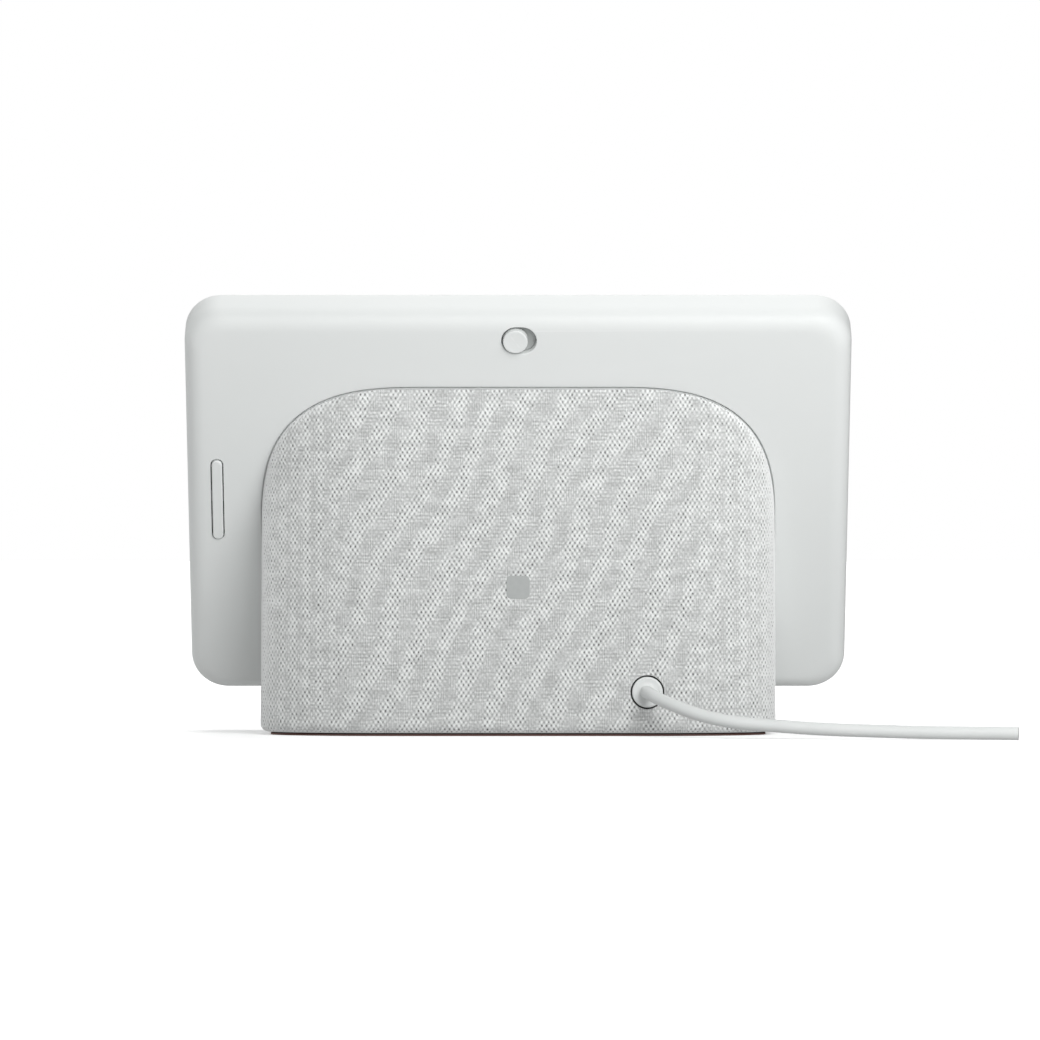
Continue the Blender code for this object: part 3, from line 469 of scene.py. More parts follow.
def cover_rings():
    """The tub from its outer back, round the edge, over the front rim and down its inner wall."""
    half_x, half_z = SLAB_WIDTH / 2, SLAB_HEIGHT / 2
    turn = SLAB_DEPTH - BACK_EDGE
    ease = 2 / EDGE_POWER
    rings = []
    for angle in reversed(quarter(EDGE_STEPS)):
        inset = BACK_EDGE * (1 - max(math.cos(angle), 0.0) ** ease)
        depth = turn + BACK_EDGE * math.sin(angle) ** ease
        corner = SLAB_CORNER - inset * TIGHTENS
        rings.append(slab_ring(half_x - inset, half_z - inset, corner, depth))
    for inset, drop in rounding(FRONT_EDGE, 4):
        rings.append(slab_ring(half_x - inset, half_z - inset, SLAB_CORNER - inset, RIM_TOP + drop))
    rim_corner = SLAB_CORNER - RIM_WIDTH
    for depth in (RIM_TOP, RIM_TOP + RIM_HEIGHT):
        rings.append(slab_ring(half_x - RIM_WIDTH, half_z - RIM_WIDTH, rim_corner, depth))
    wall_x, wall_z = half_x - COVER_WALL, half_z - COVER_WALL
    inner_edge = BACK_EDGE - COVER_WALL
    inner_corner = SLAB_CORNER - COVER_WALL
    rings.append(slab_ring(wall_x, wall_z, inner_corner, WALL_TOP))
    for angle in quarter(6):
        inset = inner_edge * (1 - math.cos(angle))
        depth = turn + inner_edge * math.sin(angle)
        corner = inner_corner - inset * TIGHTENS
        rings.append(slab_ring(wall_x - inset, wall_z - inset, corner, depth))
    return rings


def flared_cutter(name, outline, floor):
    """A cutter for an opening in the cover's back, with a rounded rim that follows the surface."""
    count = len(outline)
    rings = [[(x, floor, up) for x, up in outline]]
    centre_x = sum(x for x, _ in outline) / count
    centre_up = sum(up for _, up in outline) / count
    for grow, drop in rounding(RIM_FILLET, 5) + [(RIM_FILLET, -CUT_PAST)]:
        ring = []
        for x, up in outline:
            away = Vector((x - centre_x, up - centre_up)).normalized()
            wide_up = up + away.y * grow
            ring.append((x + away.x * grow, back_depth(wide_up) + CUT_LIFT - drop, wide_up))
        rings.append(ring)
    return solid(name, loft(rings), SLAB)


def recess_outline():
    """The mute switch's recess and the depth of its floor, from the two plates that lie in it."""
    boxes = np.array([slab_box("recess_insert"), slab_box("mute_flag")])
    low, high = boxes[:, 0].min(0), boxes[:, 1].max(0)
    half_x, half_z = (high - low)[::2] / 2 + RECESS_MARGIN
    outline = round_rect(half_x, half_z, half_z * RECESS_ROUND, 16, middle(low, high)[::2])
    return outline, low[1] - RECESS_UNDER


def key_outline():
    """The volume key's opening, a small gap wider than the key."""
    half_x, half_z = slab_half("volume_rocker") + KEY_GAP
    return round_rect(half_x, half_z, half_x * KEY_ROUND, 12, slab_place("volume_rocker"))


def seat_outline(grow):
    """Where the base meets the cover's back, grown outwards, as (x, up) points on the slab."""
    foot = SLAB @ Vector((0, SLAB_DEPTH, 0))
    rising = SLAB.col[2].xyz
    half = []
    for angle in reversed(quarter(12)):
        x = BASE_HALF - FRONT_CORNER * (1 - math.cos(angle))
        y = BASE_FRONT_Y + FRONT_CORNER * (1 - math.sin(angle))
        outward = Vector((math.cos(angle), -math.sin(angle) * rising.y)).normalized()
        half.append(Vector((x, (y - foot.y) / rising.y)) + outward * grow)
    ease = 2 / ARCH_POWER
    for angle in quarter(32):
        side, rise = max(math.cos(angle), 0.0), math.sin(angle)
        x = BASE_HALF - ARCH_WIDTH * (1 - side**ease)
        z = BASE_TOP - ARCH_HEIGHT * (1 - rise**ease)
        outward = Vector((side ** (2 - ease) / ARCH_WIDTH, rise ** (2 - ease) / ARCH_HEIGHT)).normalized()
        half.append(Vector((x, (z - foot.z) / rising.z)) + outward * grow)
    return half + [Vector((-x, up)) for x, up in reversed(half)]


def groove_cutter():
    """A cutter for the narrow groove in the cover's back, just outside the edge of the cloth."""
    below, above = SLAB_DEPTH - GROOVE_DEPTH, SLAB_DEPTH + GROOVE_DEPTH
    corners = ((GROOVE_WIDTH, below), (GROOVE_WIDTH, above), (0.0, above), (0.0, below))
    rings = [[(x, depth, up) for x, up in seat_outline(grow)] for grow, depth in corners]
    return solid("groove", loft(rings, closed=True), SLAB)


def open_for_switches(shell):
    """Cuts the mute switch's recess and slot and the key's opening, with a pad behind the recess."""
    outline, floor = recess_outline()
    pad_low = (PAD_LEFT, floor - PAD_HALF, PAD_BOTTOM)
    pad_high = (PAD_RIGHT, floor + PAD_HALF, PAD_TOP)
    cut(shell, box("pad", pad_low, pad_high), "UNION")
    cut(shell, flared_cutter("recess", outline, floor))
    stem_x, stem_up = slab_place("mute_knob")
    centre = (stem_x - SLOT_SHIFT, stem_up)
    rings = [slab_ring(*SLOT_SIZES, depth, centre, 8) for depth in (SLOT_FROM, SLOT_TO)]
    cut(shell, solid("slot", loft(rings), SLAB))
    cut(shell, flared_cutter("key_opening", key_outline(), KEY_FLOOR))


def display_shell():
    """The white cover with its screw bosses, switch openings and the groove round the base."""
    shell = solid("display_shell", loft(cover_rings()), SLAB)
    for i in range(4):
        at = along_depth(*slab_place("chassis_screw_" + str(i + 1)))
        cut(shell, rod("boss", BOSS_RADIUS, BOSS_FROM, BOSS_TO, at), "UNION")
        cut(shell, rod("bore", SCREW_BORE, BORE_FROM, BORE_TO, at))
    open_for_switches(shell)
    cut(shell, groove_cutter())
    for i in range(2):
        at = along_depth(*slab_place("bracket_screw_" + str(i + 1)))
        cut(shell, rod("bore", SCREW_BORE, BACK_FROM, BACK_TO, at))
    low, high = slab_box("display_flex")
    flex_low = (low[0] - FLEX_MARGIN, BACK_FROM, FLEX_BOTTOM)
    flex_high = (high[0] + FLEX_MARGIN, BACK_TO, FLEX_TOP)
    cut(shell, box("flex", flex_low, flex_high))
    place(shell, "housing", white_plastic("shell_white_finish"), "rear_cover")


def display_pane():
    """The front glass with a rounded front edge and a hole for each microphone."""
    low, high = slab_box("front_glass")
    half_x, half_z = slab_half("front_glass")
    corner = SLAB_CORNER - (SLAB_WIDTH / 2 - half_x)
    rings = [slab_ring(half_x, half_z, corner, high[1])]
    for inset, drop in rounding(GLASS_EDGE, 5):
        rings.append(slab_ring(half_x - inset, half_z - inset, corner - inset, low[1] + drop))
    pane = solid("display_pane", loft(rings), SLAB)
    for name in ("microphone_left", "microphone_right"):
        cut(pane, rod("port", PORT_RADIUS, -1 * MM, 2 * MM, along_depth(*slab_place(name)), 24))
    place(pane, "housing", printed_glass(), "front_glass")


def mute_button():
    """The sliding knob: a stem, and a round head with a rolled rim and a dished face."""
    low, high = slab_box("mute_knob")
    radius = slab_half("mute_knob")[0]
    top = high[1]
    profile = [(STEM_RADIUS, low[1]), (STEM_RADIUS, KNOB_UNDER)]
    profile += [(radius - KNOB_CHAMFER, KNOB_UNDER), (radius, KNOB_UNDER + KNOB_CHAMFER)]
    profile += fillet(radius, top, KNOB_FILLET, 6)
    for share in DISH_SHARES:
        profile.append((radius * share, top - DISH_DEPTH * (1 - (share / DISH_RIM) ** 2)))
    knob = solid("mute_button", loft(turned(profile, 64)), along_depth(*slab_place("mute_knob")))
    place(knob, "mute_slider", white_plastic("knob_finish"), "mute_knob", 50)


def volume_key():
    """The rocker key with rounded edges, a foot over each switch and a lug round the pin."""
    top = slab_box("volume_rocker")[1][1]
    half_x, half_z = slab_half("volume_rocker")
    centre = slab_place("volume_rocker")
    pin = middle(*slab_box("rocker_pin"))[1]
    sections = [(0.0, pin + KEY_UNDER)]
    sections += [(inset, top - drop) for inset, drop in rounding(KEY_EDGE, 6)]
    rings = []
    for inset, depth in sections:
        corner = (half_x - inset) * KEY_ROUND
        rings.append(slab_ring(half_x - inset, half_z - inset, corner, depth, centre, 12))
    key = solid("volume_key", loft(rings), SLAB)
    for up, reach, lowest in KEY_FEET:
        foot_low = (centre[0] - FOOT_HALF, pin + lowest * MM, centre[1] + (up - reach) * MM)
        foot_high = (centre[0] + FOOT_HALF, pin + FOOT_INTO_KEY, centre[1] + (up + reach) * MM)
        cut(key, box("foot", foot_low, foot_high), "UNION")
    at = SLAB @ Matrix.Translation((centre[0], pin, centre[1])) @ Matrix.Rotation(math.pi / 2, 4, "Y")
    cut(key, rod("pin_bore", PIN_BORE, -PIN_BORE_HALF, PIN_BORE_HALF, at))
    place(key, "rocker", white_plastic("key_finish"), "volume_rocker")


# ---- base ----


def wall_y(z):
    """Where the leaning rear wall stands at a height, before any inset."""
    return BASE_REAR_Y - BASE_LEAN * (max(z, 0.0) / BASE_TOP) ** LEAN_POWER


def slab_back_y(z):
    """Where the display's flat back stands at a height."""
    low_back = SLAB @ Vector((0, SLAB_DEPTH, 0))
    up = SLAB.col[2].xyz
    return low_back.y + (z - low_back.z) * up.y / up.z


def half_outline(z, half_width, inset):
    """Half the base's outline at a height, from the middle of its rear to the middle of its front."""
    rear = wall_y(z) - inset
    front = BASE_FRONT_Y + inset
    side = half_width - inset
    flat = min(REAR_FLAT_HALF, side - REAR_FLAT_MARGIN)
    room = min(REAR_CORNER_DEPTH, wall_y(z) - slab_back_y(z))
    depth = max(room - REAR_TIGHTENS * inset, REAR_CORNER_LEAST)
    turn = FRONT_CORNER - FRONT_TIGHTENS * inset
    points = [(0.0, rear)]
    for angle in quarter(48):
        points.append((flat + (side - flat) * math.sin(angle), rear - depth * (1 - math.cos(angle))))
    points += [(side - inward, front + drop) for inward, drop in rounding(turn, 12)]
    points.append((0.0, front))
    return np.array(points)


def arch_half(z):
    """Half the base's width at a height, narrowing along a superellipse near its top."""
    rise = min(max((z - BASE_TOP + ARCH_HEIGHT) / ARCH_HEIGHT, 0.0), 1.0)
    return BASE_HALF - ARCH_WIDTH * (1 - (1 - rise**ARCH_POWER) ** (1 / ARCH_POWER))


def cloth_ring(z, half_width, inset):
    """A closed ring of cloth at a height, and lengths round it, positive towards -X."""
    outline = half_outline(z, half_width, inset)
    steps = np.hypot(*np.diff(outline, axis=0).T)
    travelled = np.concatenate(([0.0], np.cumsum(steps)))
    even = np.arange(EVEN_COLUMNS + 1) * COLUMN
    spread = np.linspace(even[-1], travelled[-1], SPREAD_COLUMNS + 1)[1:]
    along = np.concatenate((even, spread))
    x = np.interp(along, travelled, outline[:, 0])
    y = np.interp(along, travelled, outline[:, 1])
    ring_x = np.concatenate((-x, x[-2:0:-1]))
    ring_y = np.concatenate((y, y[-2:0:-1]))
    ring = np.column_stack((ring_x, ring_y, np.full(len(ring_x), z)))
    return ring, np.concatenate((along, -along[-2:0:-1]))


def sleeve_levels():
    """(inset, z, height along the cloth) of each row of the outer skin, from its hem upwards."""
    rows = []
    for angle in reversed(quarter(HEM_STEPS)):
        inset = HEM * (1 - math.cos(angle))
        z = CLOTH_BOTTOM + HEM * (1 - math.sin(angle))
        rows.append((inset, z, -HEM * angle))
    z, height = rows[-1][1], rows[-1][2]
    step = STITCH_HEIGHT / 2
    while z < BASE_TOP - CROWN_HEIGHT:
        slope = (wall_y(z + step) - wall_y(z)) / step
        z += step / math.sqrt(1 + slope * slope)
        height += step
        rows.append((0.0, z, height))
    crown = z
    for i in range(1, CROWN_ROWS + 1):
        share = math.sin(math.pi / 2 * i / CROWN_ROWS)
        rows.append((0.0, crown + (BASE_TOP - crown) * share, height + (BASE_TOP - crown) * share))
    return rows


def band_mask(s, h):
    """How strongly open stitches show, from 0 to 1: slanting bands, wales at the sides."""
    wander = sum(
        size * np.sin(2 * np.pi * (s / across + h / up) + phase) for size, across, up, phase in BAND_WAVES
    )
    bands = 0.5 + 0.5 * np.cos(2 * np.pi * (BAND_ACROSS * s + BAND_UP * h + wander * MM) / BAND_PITCH)
    wales = WALE_MIDDLE + WALE_SWING * np.cos(2 * np.pi * s / WALE_PITCH)
    aside = np.clip((np.abs(s) - SIDE_FROM) / SIDE_OVER, 0, 1)
    return bands + (wales - bands) * aside * aside * (3 - 2 * aside)


def outer_skin():
    """The cloth's outside in relief, and the length, height and band at each of its points."""
    rows, lengths, heights = [], [], []
    for inset, z, height in sleeve_levels():
        ring, along = cloth_ring(z, arch_half(z), inset)
        rows.append(ring)
        lengths.append(along)
        heights.append(np.full(len(ring), height))
    skin, s, h = np.array(rows), np.array(lengths), np.array(heights)
    sideways = np.roll(skin, -1, axis=1) - np.roll(skin, 1, axis=1)
    normals = np.cross(np.gradient(skin, axis=0), sideways)
    normals /= np.linalg.norm(normals, axis=2, keepdims=True) + 1e-12
    band = band_mask(s, h)
    lattice = np.cos(2 * np.pi * s / STITCH_WIDTH) * np.cos(2 * np.pi * h / STITCH_HEIGHT)
    relief = -lattice * (RELIEF_LEAST + RELIEF_IN_BANDS * band) * MM
    relief[: HEM_STEPS + 1] = 0.0
    return skin + normals * relief[:, :, None], s, h, band


def inner_skin():
    """The cloth's plain inside, from its top down to the lip that turns under the base."""
    rows = []
    low, high = CLOTH_BOTTOM + HEM, BASE_TOP - CLOTH_THICK
    for share in INNER_SHARES:
        z = low + (high - low) * share
        half = arch_half(z + CLOTH_THICK * share)
        rows.append(cloth_ring(z, half, CLOTH_THICK)[0])
    lip = CLOTH_BOTTOM + CLOTH_THICK
    for inset, z in ((HEM, lip), (SLEEVE_LIP, lip), (SLEEVE_LIP, CLOTH_BOTTOM)):
        rows.append(cloth_ring(z, BASE_HALF, inset)[0])
    return np.array(rows)


def fabric_cover():
    """The cloth tube: an outer skin with its stitches in relief, and a plain inner skin."""
    skin, *known = outer_skin()
    rings = np.concatenate((skin, inner_skin()))
    cloth = solid("fabric_cover", loft(rings, closed=True))
    maps = np.zeros((len(known), rings.shape[0] * rings.shape[1]))
    for values, source in zip(maps, known):
        values[: source.size] = source.ravel()
    write_cloth_maps(cloth.data, *maps)
    rework(cloth.data, trim_to_slab)
    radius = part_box("power_plug")[1].x - PLUG_CENTRE.x + JACK_GAP
    cut(cloth, rod("jack_opening", radius, JACK_FROM, JACK_TO, PLUG_AXIS, 64))
    cloth.data.shade_smooth()
    cloth.data.set_sharp_from_angle(angle=math.radians(50))
    place(cloth, "housing", knit_cloth(), "fabric_sleeve", None)


def write_cloth_maps(mesh, u, v, band):
    """The cloth's lengths and heights as a UV map, whole across its seam, and its bands."""
    corners = np.empty(len(mesh.loops), np.int32)
    mesh.loops.foreach_get("vertex_index", corners)
    corner_u, corner_v = u[corners], v[corners]
    starts = np.empty(len(mesh.polygons), np.int32)
    mesh.polygons.foreach_get("loop_start", starts)
    quads = starts[:, None] + np.arange(4)
    around = corner_u[quads]
    seam = np.ptp(around, axis=1) > SEAM_JUMP
    corner_u[quads[seam]] = np.abs(around[seam])
    layer = mesh.uv_layers.new(name="cloth")
    layer.data.foreach_set("uv", np.column_stack((corner_u, corner_v)).astype(np.float32).ravel())
    attribute = mesh.attributes.new("band", "FLOAT", "POINT")
    attribute.data.foreach_set("value", band.astype(np.float32))


def trim_to_slab(source):
    """Cuts the cloth off just short of the display's back, and closes the cut."""
    cut_through = bmesh.ops.bisect_plane(
        source,
        geom=source.verts[:] + source.edges[:] + source.faces[:],
        dist=1e-7,
        plane_co=SLAB @ Vector((0, SLAB_DEPTH + ARCH_GAP, 0)),
        plane_no=-SLAB.col[1].xyz,
        clear_outer=True,
    )
    rim = [edge for edge in cut_through["geom_cut"] if isinstance(edge, bmesh.types.BMEdge)]
    bmesh.ops.triangle_fill(source, use_beauty=True, use_dissolve=False, edges=rim)


def fabric_mark():
    """A plain rounded tag pressed on the cloth, low in the middle of its rear."""
    lean = math.atan2(wall_y(MARK_UP - 1 * MM) - wall_y(MARK_UP + 1 * MM), 2 * MM)
    at = Matrix.Translation((0, wall_y(MARK_UP), MARK_UP)) @ Matrix.Rotation(lean, 4, "X")
    rings = []
    for inset, depth in ((0.0, -0.35 * MM), (0.0, 0.02 * MM), (0.06 * MM, 0.08 * MM), (0.2 * MM, 0.1 * MM)):
        outline = round_rect(MARK_HALF - inset, MARK_HALF - inset, MARK_CORNER - inset, 10)
        rings.append([(x, depth, up) for x, up in outline])
    mark = solid("fabric_mark", loft(rings), at)
    place(mark, "housing", mark_finish(), None, 60)


def foot_pad():
    """The coral rubber foot under the base, with a small round along its lower edge."""
    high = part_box("rubber_foot")[1]
    inset = BASE_HALF - high.x
    rings = []
    for extra, z in ((0.15 * MM, 0.0), (0.04 * MM, 0.04 * MM), (0.0, 0.15 * MM), (0.0, high.z)):
        outline = half_outline(z, BASE_HALF, inset + extra)
        right = [(x, y, z) for x, y in outline]
        left = [(-x, y, z) for x, y in reversed(outline[1:-1])]
        rings.append(right + left)
    foot = solid("foot_pad", loft(rings))
    place(foot, "housing", coral_rubber(), "rubber_foot")


# ---- power plug and cord ----


PLUG_LOW, PLUG_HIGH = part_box("power_plug")
PLUG_CENTRE = Vector((middle(PLUG_LOW.x, PLUG_HIGH.x), PLUG_HIGH.y, middle(PLUG_LOW.z, PLUG_HIGH.z)))
PLUG_AXIS = Matrix.Translation((PLUG_CENTRE.x, 0, PLUG_CENTRE.z)) @ LAID_BACK


def plug_body():
    """The round plug: a barrel with a bore, a body, a rolled rim and a socket for the cord."""
    radius = (PLUG_HIGH.x - PLUG_LOW.x) / 2
    face, tip = PLUG_HIGH.y, PLUG_LOW.y
    shoulder = tip + BARREL_LENGTH
    socket = CABLE_RADIUS + SOCKET_GAP
    profile = [
        (BARREL_BORE, shoulder + BORE_PAST),
        (BARREL_BORE, tip),
        (BARREL_TIP, tip),
        (BARREL_RADIUS, tip + BARREL_CHAMFER),
        (BARREL_RADIUS, shoulder),
        (radius - PLUG_SHOULDER, shoulder),
        (radius, shoulder + PLUG_SHOULDER),
    ]
    profile += fillet(radius, face, PLUG_FILLET, 8)
    profile += [
        (radius * 0.84, face - 0.01 * MM),
        (radius * 0.78, face - 0.1 * MM),
        (radius * 0.6, face - 0.1 * MM),
        (socket + 0.5 * MM, face - 0.08 * MM),
        (socket + 0.22 * MM, face + 0.02 * MM),
        (socket + 0.07 * MM, face + 0.18 * MM),
        (socket, face + 0.2 * MM),
        (socket, face - SOCKET_DEPTH),
    ]
    plug = solid("plug_body", loft(turned(profile, 96)), PLUG_AXIS)
    place(plug, "cord", soft_cord("plug_finish"), "power_plug", 50)


def weld(source):
    bmesh.ops.remove_doubles(source, verts=source.verts, dist=1e-6)


def cord_body():
    """The cord: out of the plug, aside, and down to lie on the table."""
    low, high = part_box("power_cable")
    path = [
        (PLUG_CENTRE.x, PLUG_CENTRE.y - 2.2 * MM, PLUG_CENTRE.z),
        (PLUG_CENTRE.x, PLUG_CENTRE.y + 3.5 * MM, PLUG_CENTRE.z),
        (-39.5 * MM, 46.0 * MM, 9.2 * MM),
        (-52.0 * MM, 54.5 * MM, 5.2 * MM),
        (-70.0 * MM, 58.5 * MM, 3.3 * MM),
        (-98.0 * MM, 62.5 * MM, 2.1 * MM),
        (low.x, high.y - CABLE_RADIUS, CABLE_RADIUS + CABLE_LIFT),
    ]
    curve = bpy.data.curves.new("cord_path", "CURVE")
    curve.dimensions = "3D"
    curve.bevel_depth = CABLE_RADIUS
    curve.bevel_resolution = 10
    curve.resolution_u = 40
    curve.use_fill_caps = True
    knots = curve.splines.new("BEZIER").bezier_points
    knots.add(len(path) - 1)
    for knot, point in zip(knots, path):
        knot.co = point
        knot.handle_left_type = knot.handle_right_type = "AUTO"
    guide = linked("cord_guide", curve)
    mesh = applied(guide)
    bpy.data.objects.remove(guide)
    rework(mesh, weld)
    cord = linked("cord_body", mesh)
    place(cord, "cord", soft_cord("cord_finish"), "power_cable", 50)


# ---- materials ----


def tint(display):
    """A linear colour from 0-255 display values."""
    return tuple(min((value / 255) ** 2.2, 1.0) for value in display) + (1.0,)


class Wiring:
    """A node tree being built: short calls that add nodes and join them up."""

    def __init__(self, tree):
        self.tree = tree

    def add(self, kind, inputs=None, **settings):
        made = self.tree.nodes.new("ShaderNode" + kind)
        for key, value in settings.items():
            setattr(made, key, value)
        for key, value in (inputs or {}).items():
            self.join(value, made.inputs[key])
        return made

    def join(self, value, socket):
        if isinstance(value, bpy.types.NodeSocket):
            self.tree.links.new(value, socket)
        else:
            socket.default_value = value

    def calc(self, operation, *values):
        made = self.add("Math", operation=operation)
        for i, value in enumerate(values):
            self.join(value, made.inputs[i])
        return made.outputs[0]

    def reach(self, first, second):
        squares = [self.calc("POWER", value, 2.0) for value in (first, second)]
        return self.calc("SQRT", self.calc("ADD", *squares))

    def times(self, *values):
        return self.calc("MULTIPLY", *values)

    def minus(self, *values):
        return self.calc("SUBTRACT", *values)

    def times_plus(self, *values):
        return self.calc("MULTIPLY_ADD", *values)

    def steps(self, value, low, high, out_low=0.0, out_high=1.0, kind="SMOOTHSTEP"):
        """A rise between two values as the input goes from low to high, eased at its ends."""
        inputs = {0: value, 1: low, 2: high, 3: out_low, 4: out_high}
        return self.add("MapRange", inputs, interpolation_type=kind).outputs[0]

    def ramp(self, *values):
        """The same rise in a straight line."""
        return self.steps(*values, kind="LINEAR")

    def mix(self, factor, first, second, blend="MIX"):
        made = self.add("Mix", data_type="RGBA", blend_type=blend)
        self.join(factor, made.inputs[0])
        self.join(first, made.inputs[6])
        self.join(second, made.inputs[7])
        return made.outputs[2]

    def camera_only(self, seen, otherwise):
        """One shader for what the camera sees, and another for all other light."""
        path = self.add("LightPath").outputs["Is Camera Ray"]
        return self.add("MixShader", {0: path, 1: otherwise, 2: seen}).outputs[0]


class Shade(Wiring):
    """A material being built on its Principled shader."""

    def __init__(self, name):
        self.material = bpy.data.materials.new(name)
        self.material.use_nodes = True
        super().__init__(self.material.node_tree)
        self.shader = self.tree.nodes["Principled BSDF"]
        self.place = self.add("TexCoord").outputs["Object"]

    def noise(self, size, detail=2.0, stretch=(1, 1, 1), where=None):
        """Soft noise from 0 to 1 with features of about the given size in metres."""
        scaled = self.add("Mapping", {"Vector": where or self.place, "Scale": stretch})
        inputs = {"Vector": scaled.outputs[0], "Scale": 1 / size, "Detail": detail}
        return self.add("TexNoise", inputs).outputs[0]

    def tones(self, factor, pair):
        """A drift between two colours given as 0-255 display values."""
        return self.mix(factor, tint(pair[0]), tint(pair[1]))

    def grain(self, height, depth, strength):
        """Bump from a height between 0 and 1, standing for a relief of the given depth."""
        made = self.add("Bump", {"Height": height, "Distance": depth, "Strength": strength})
        self.join(made.outputs[0], self.shader.inputs["Normal"])

    def set(self, **values):
        for key, value in values.items():
            self.join(value, self.shader.inputs[key.replace("_", " ")])


def white_plastic(name):
    """Satin plastic: a fine grain, a faint drift in tone and gloss, and smoother worn edges with a painted
    sheen.
    """
    shade = Shade(name)
    drift = shade.noise(50 * MM, 3.0)
    colour = shade.tones(drift, SHELL_TONES)
    # Convex edges: glossier from wear, and painted paler as a painted sheen
    wear_and_sheen = shade.steps(shade.add("NewGeometry").outputs["Pointiness"], *WEAR_AND_SHEEN_FROM_TO)
    colour = shade.mix(shade.times(wear_and_sheen, WEAR_AND_SHEEN_SHOWN), colour, tint(SHELL_WEAR_AND_SHEEN))
    rough = shade.ramp(shade.noise(12 * MM, 4.0), 0.3, 0.7, *SHELL_ROUGH)
    rough = shade.minus(rough, shade.times(wear_and_sheen, WEAR_GLOSS))
    shade.set(Base_Color=colour, Roughness=rough, Specular_IOR_Level=0.4)
    shade.grain(shade.noise(0.00035, 2.0), 0.000012, 0.5)
    return shade.material


def slab_coordinates(shade):
    """A surface's place on the slab, as x, depth and height from the slab's middle."""
    inputs = {"Vector": shade.place, "Rotation": SLAB.to_euler()}
    inputs["Location"] = SLAB @ Vector((0, 0, SLAB_MIDDLE))
    local = shade.add("Mapping", inputs, vector_type="TEXTURE")
    return shade.add("SeparateXYZ", {0: local.outputs[0]}).outputs


def printed_glass():
    """Clear glass over a pale printed border, with dark windows for the screen and the sensor."""
    shade = Shade("printed_glass")
    x, _, up = slab_coordinates(shade)
    past = []
    for place_on_slab, size in ((x, SCREEN_WIDTH), (up, SCREEN_HEIGHT)):
        inner = shade.minus(shade.calc("ABSOLUTE", place_on_slab), size / 2 - SCREEN_CORNER)
        past.append(shade.calc("MAXIMUM", inner, 0.0))
    reach = shade.reach(*past)
    outside = shade.steps(reach, SCREEN_CORNER - PRINT_SOFT, SCREEN_CORNER + PRINT_SOFT)
    line = shade.steps(reach, SCREEN_CORNER + PRINT_SOFT, SCREEN_CORNER + PRINT_LINE)
    # Painted glow: the dark screen is painted lighter towards its top
    glow = shade.ramp(up, -SCREEN_HEIGHT / 2, SCREEN_HEIGHT / 2)
    dark = shade.mix(glow, *SCREEN_DARK_AND_GLOW)
    border = shade.tones(shade.noise(30 * MM), BORDER_TONES)
    border = shade.mix(line, tint(BORDER_LINE), border)
    sensor_x, sensor_up = slab_place("light_sensor")
    away_x = shade.minus(x, float(sensor_x))
    away_up = shade.minus(up, float(sensor_up - SLAB_MIDDLE))
    away = shade.reach(away_x, away_up)
    window = shade.steps(away, SENSOR_WINDOW - PRINT_SOFT, SENSOR_WINDOW + PRINT_SOFT)
    border = shade.mix(window, SENSOR_TONE, border)
    rough = shade.ramp(shade.noise(20 * MM), 0, 1, *GLASS_ROUGH)
    shade.set(Base_Color=shade.mix(outside, dark, border), Roughness=rough)
    shade.set(Coat_Weight=0.6, Coat_Roughness=0.03, Specular_IOR_Level=0.5)
    shade.grain(shade.noise(4 * MM, 1.0), 0.002 * MM, 0.3)
    return shade.material


def stitch_waves(shade, cloth):
    """Waves along the cloth: the stitch lattice, its slant, and fine threads across and up it."""
    wobble = shade.add("TexNoise", {"Vector": cloth, "Scale": 1 / STITCH_WIDTH, "Detail": 2.0})
    away = shade.add("SeparateXYZ", {0: wobble.outputs["Color"]})
    split = shade.add("SeparateXYZ", {0: cloth})
    turns, cells = [], []
    for axis, length in ((0, STITCH_WIDTH), (1, STITCH_HEIGHT)):
        drift = shade.minus(away.outputs[axis], 0.5)
        moved = shade.times_plus(drift, STITCH_DRIFT, split.outputs[axis])
        turns.append(shade.times(moved, 2 * math.pi / length))
        cells.append(shade.calc("ROUND", shade.calc("DIVIDE", moved, length / 2)))
    cosines = [shade.calc("COSINE", turn) for turn in turns]
    sines = [shade.calc("SINE", turn) for turn in turns]
    lattice = shade.times(cosines[0], cosines[1])
    slant = shade.times(sines[0], sines[1])
    threads = [shade.calc("COSINE", shade.times(turn, 2.0)) for turn in turns]
    cell = shade.add("CombineXYZ", {0: cells[0], 1: cells[1]}).outputs[0]
    chance = shade.add("TexWhiteNoise", {0: cell}, noise_dimensions="2D").outputs[0]
    return lattice, slant, threads, chance


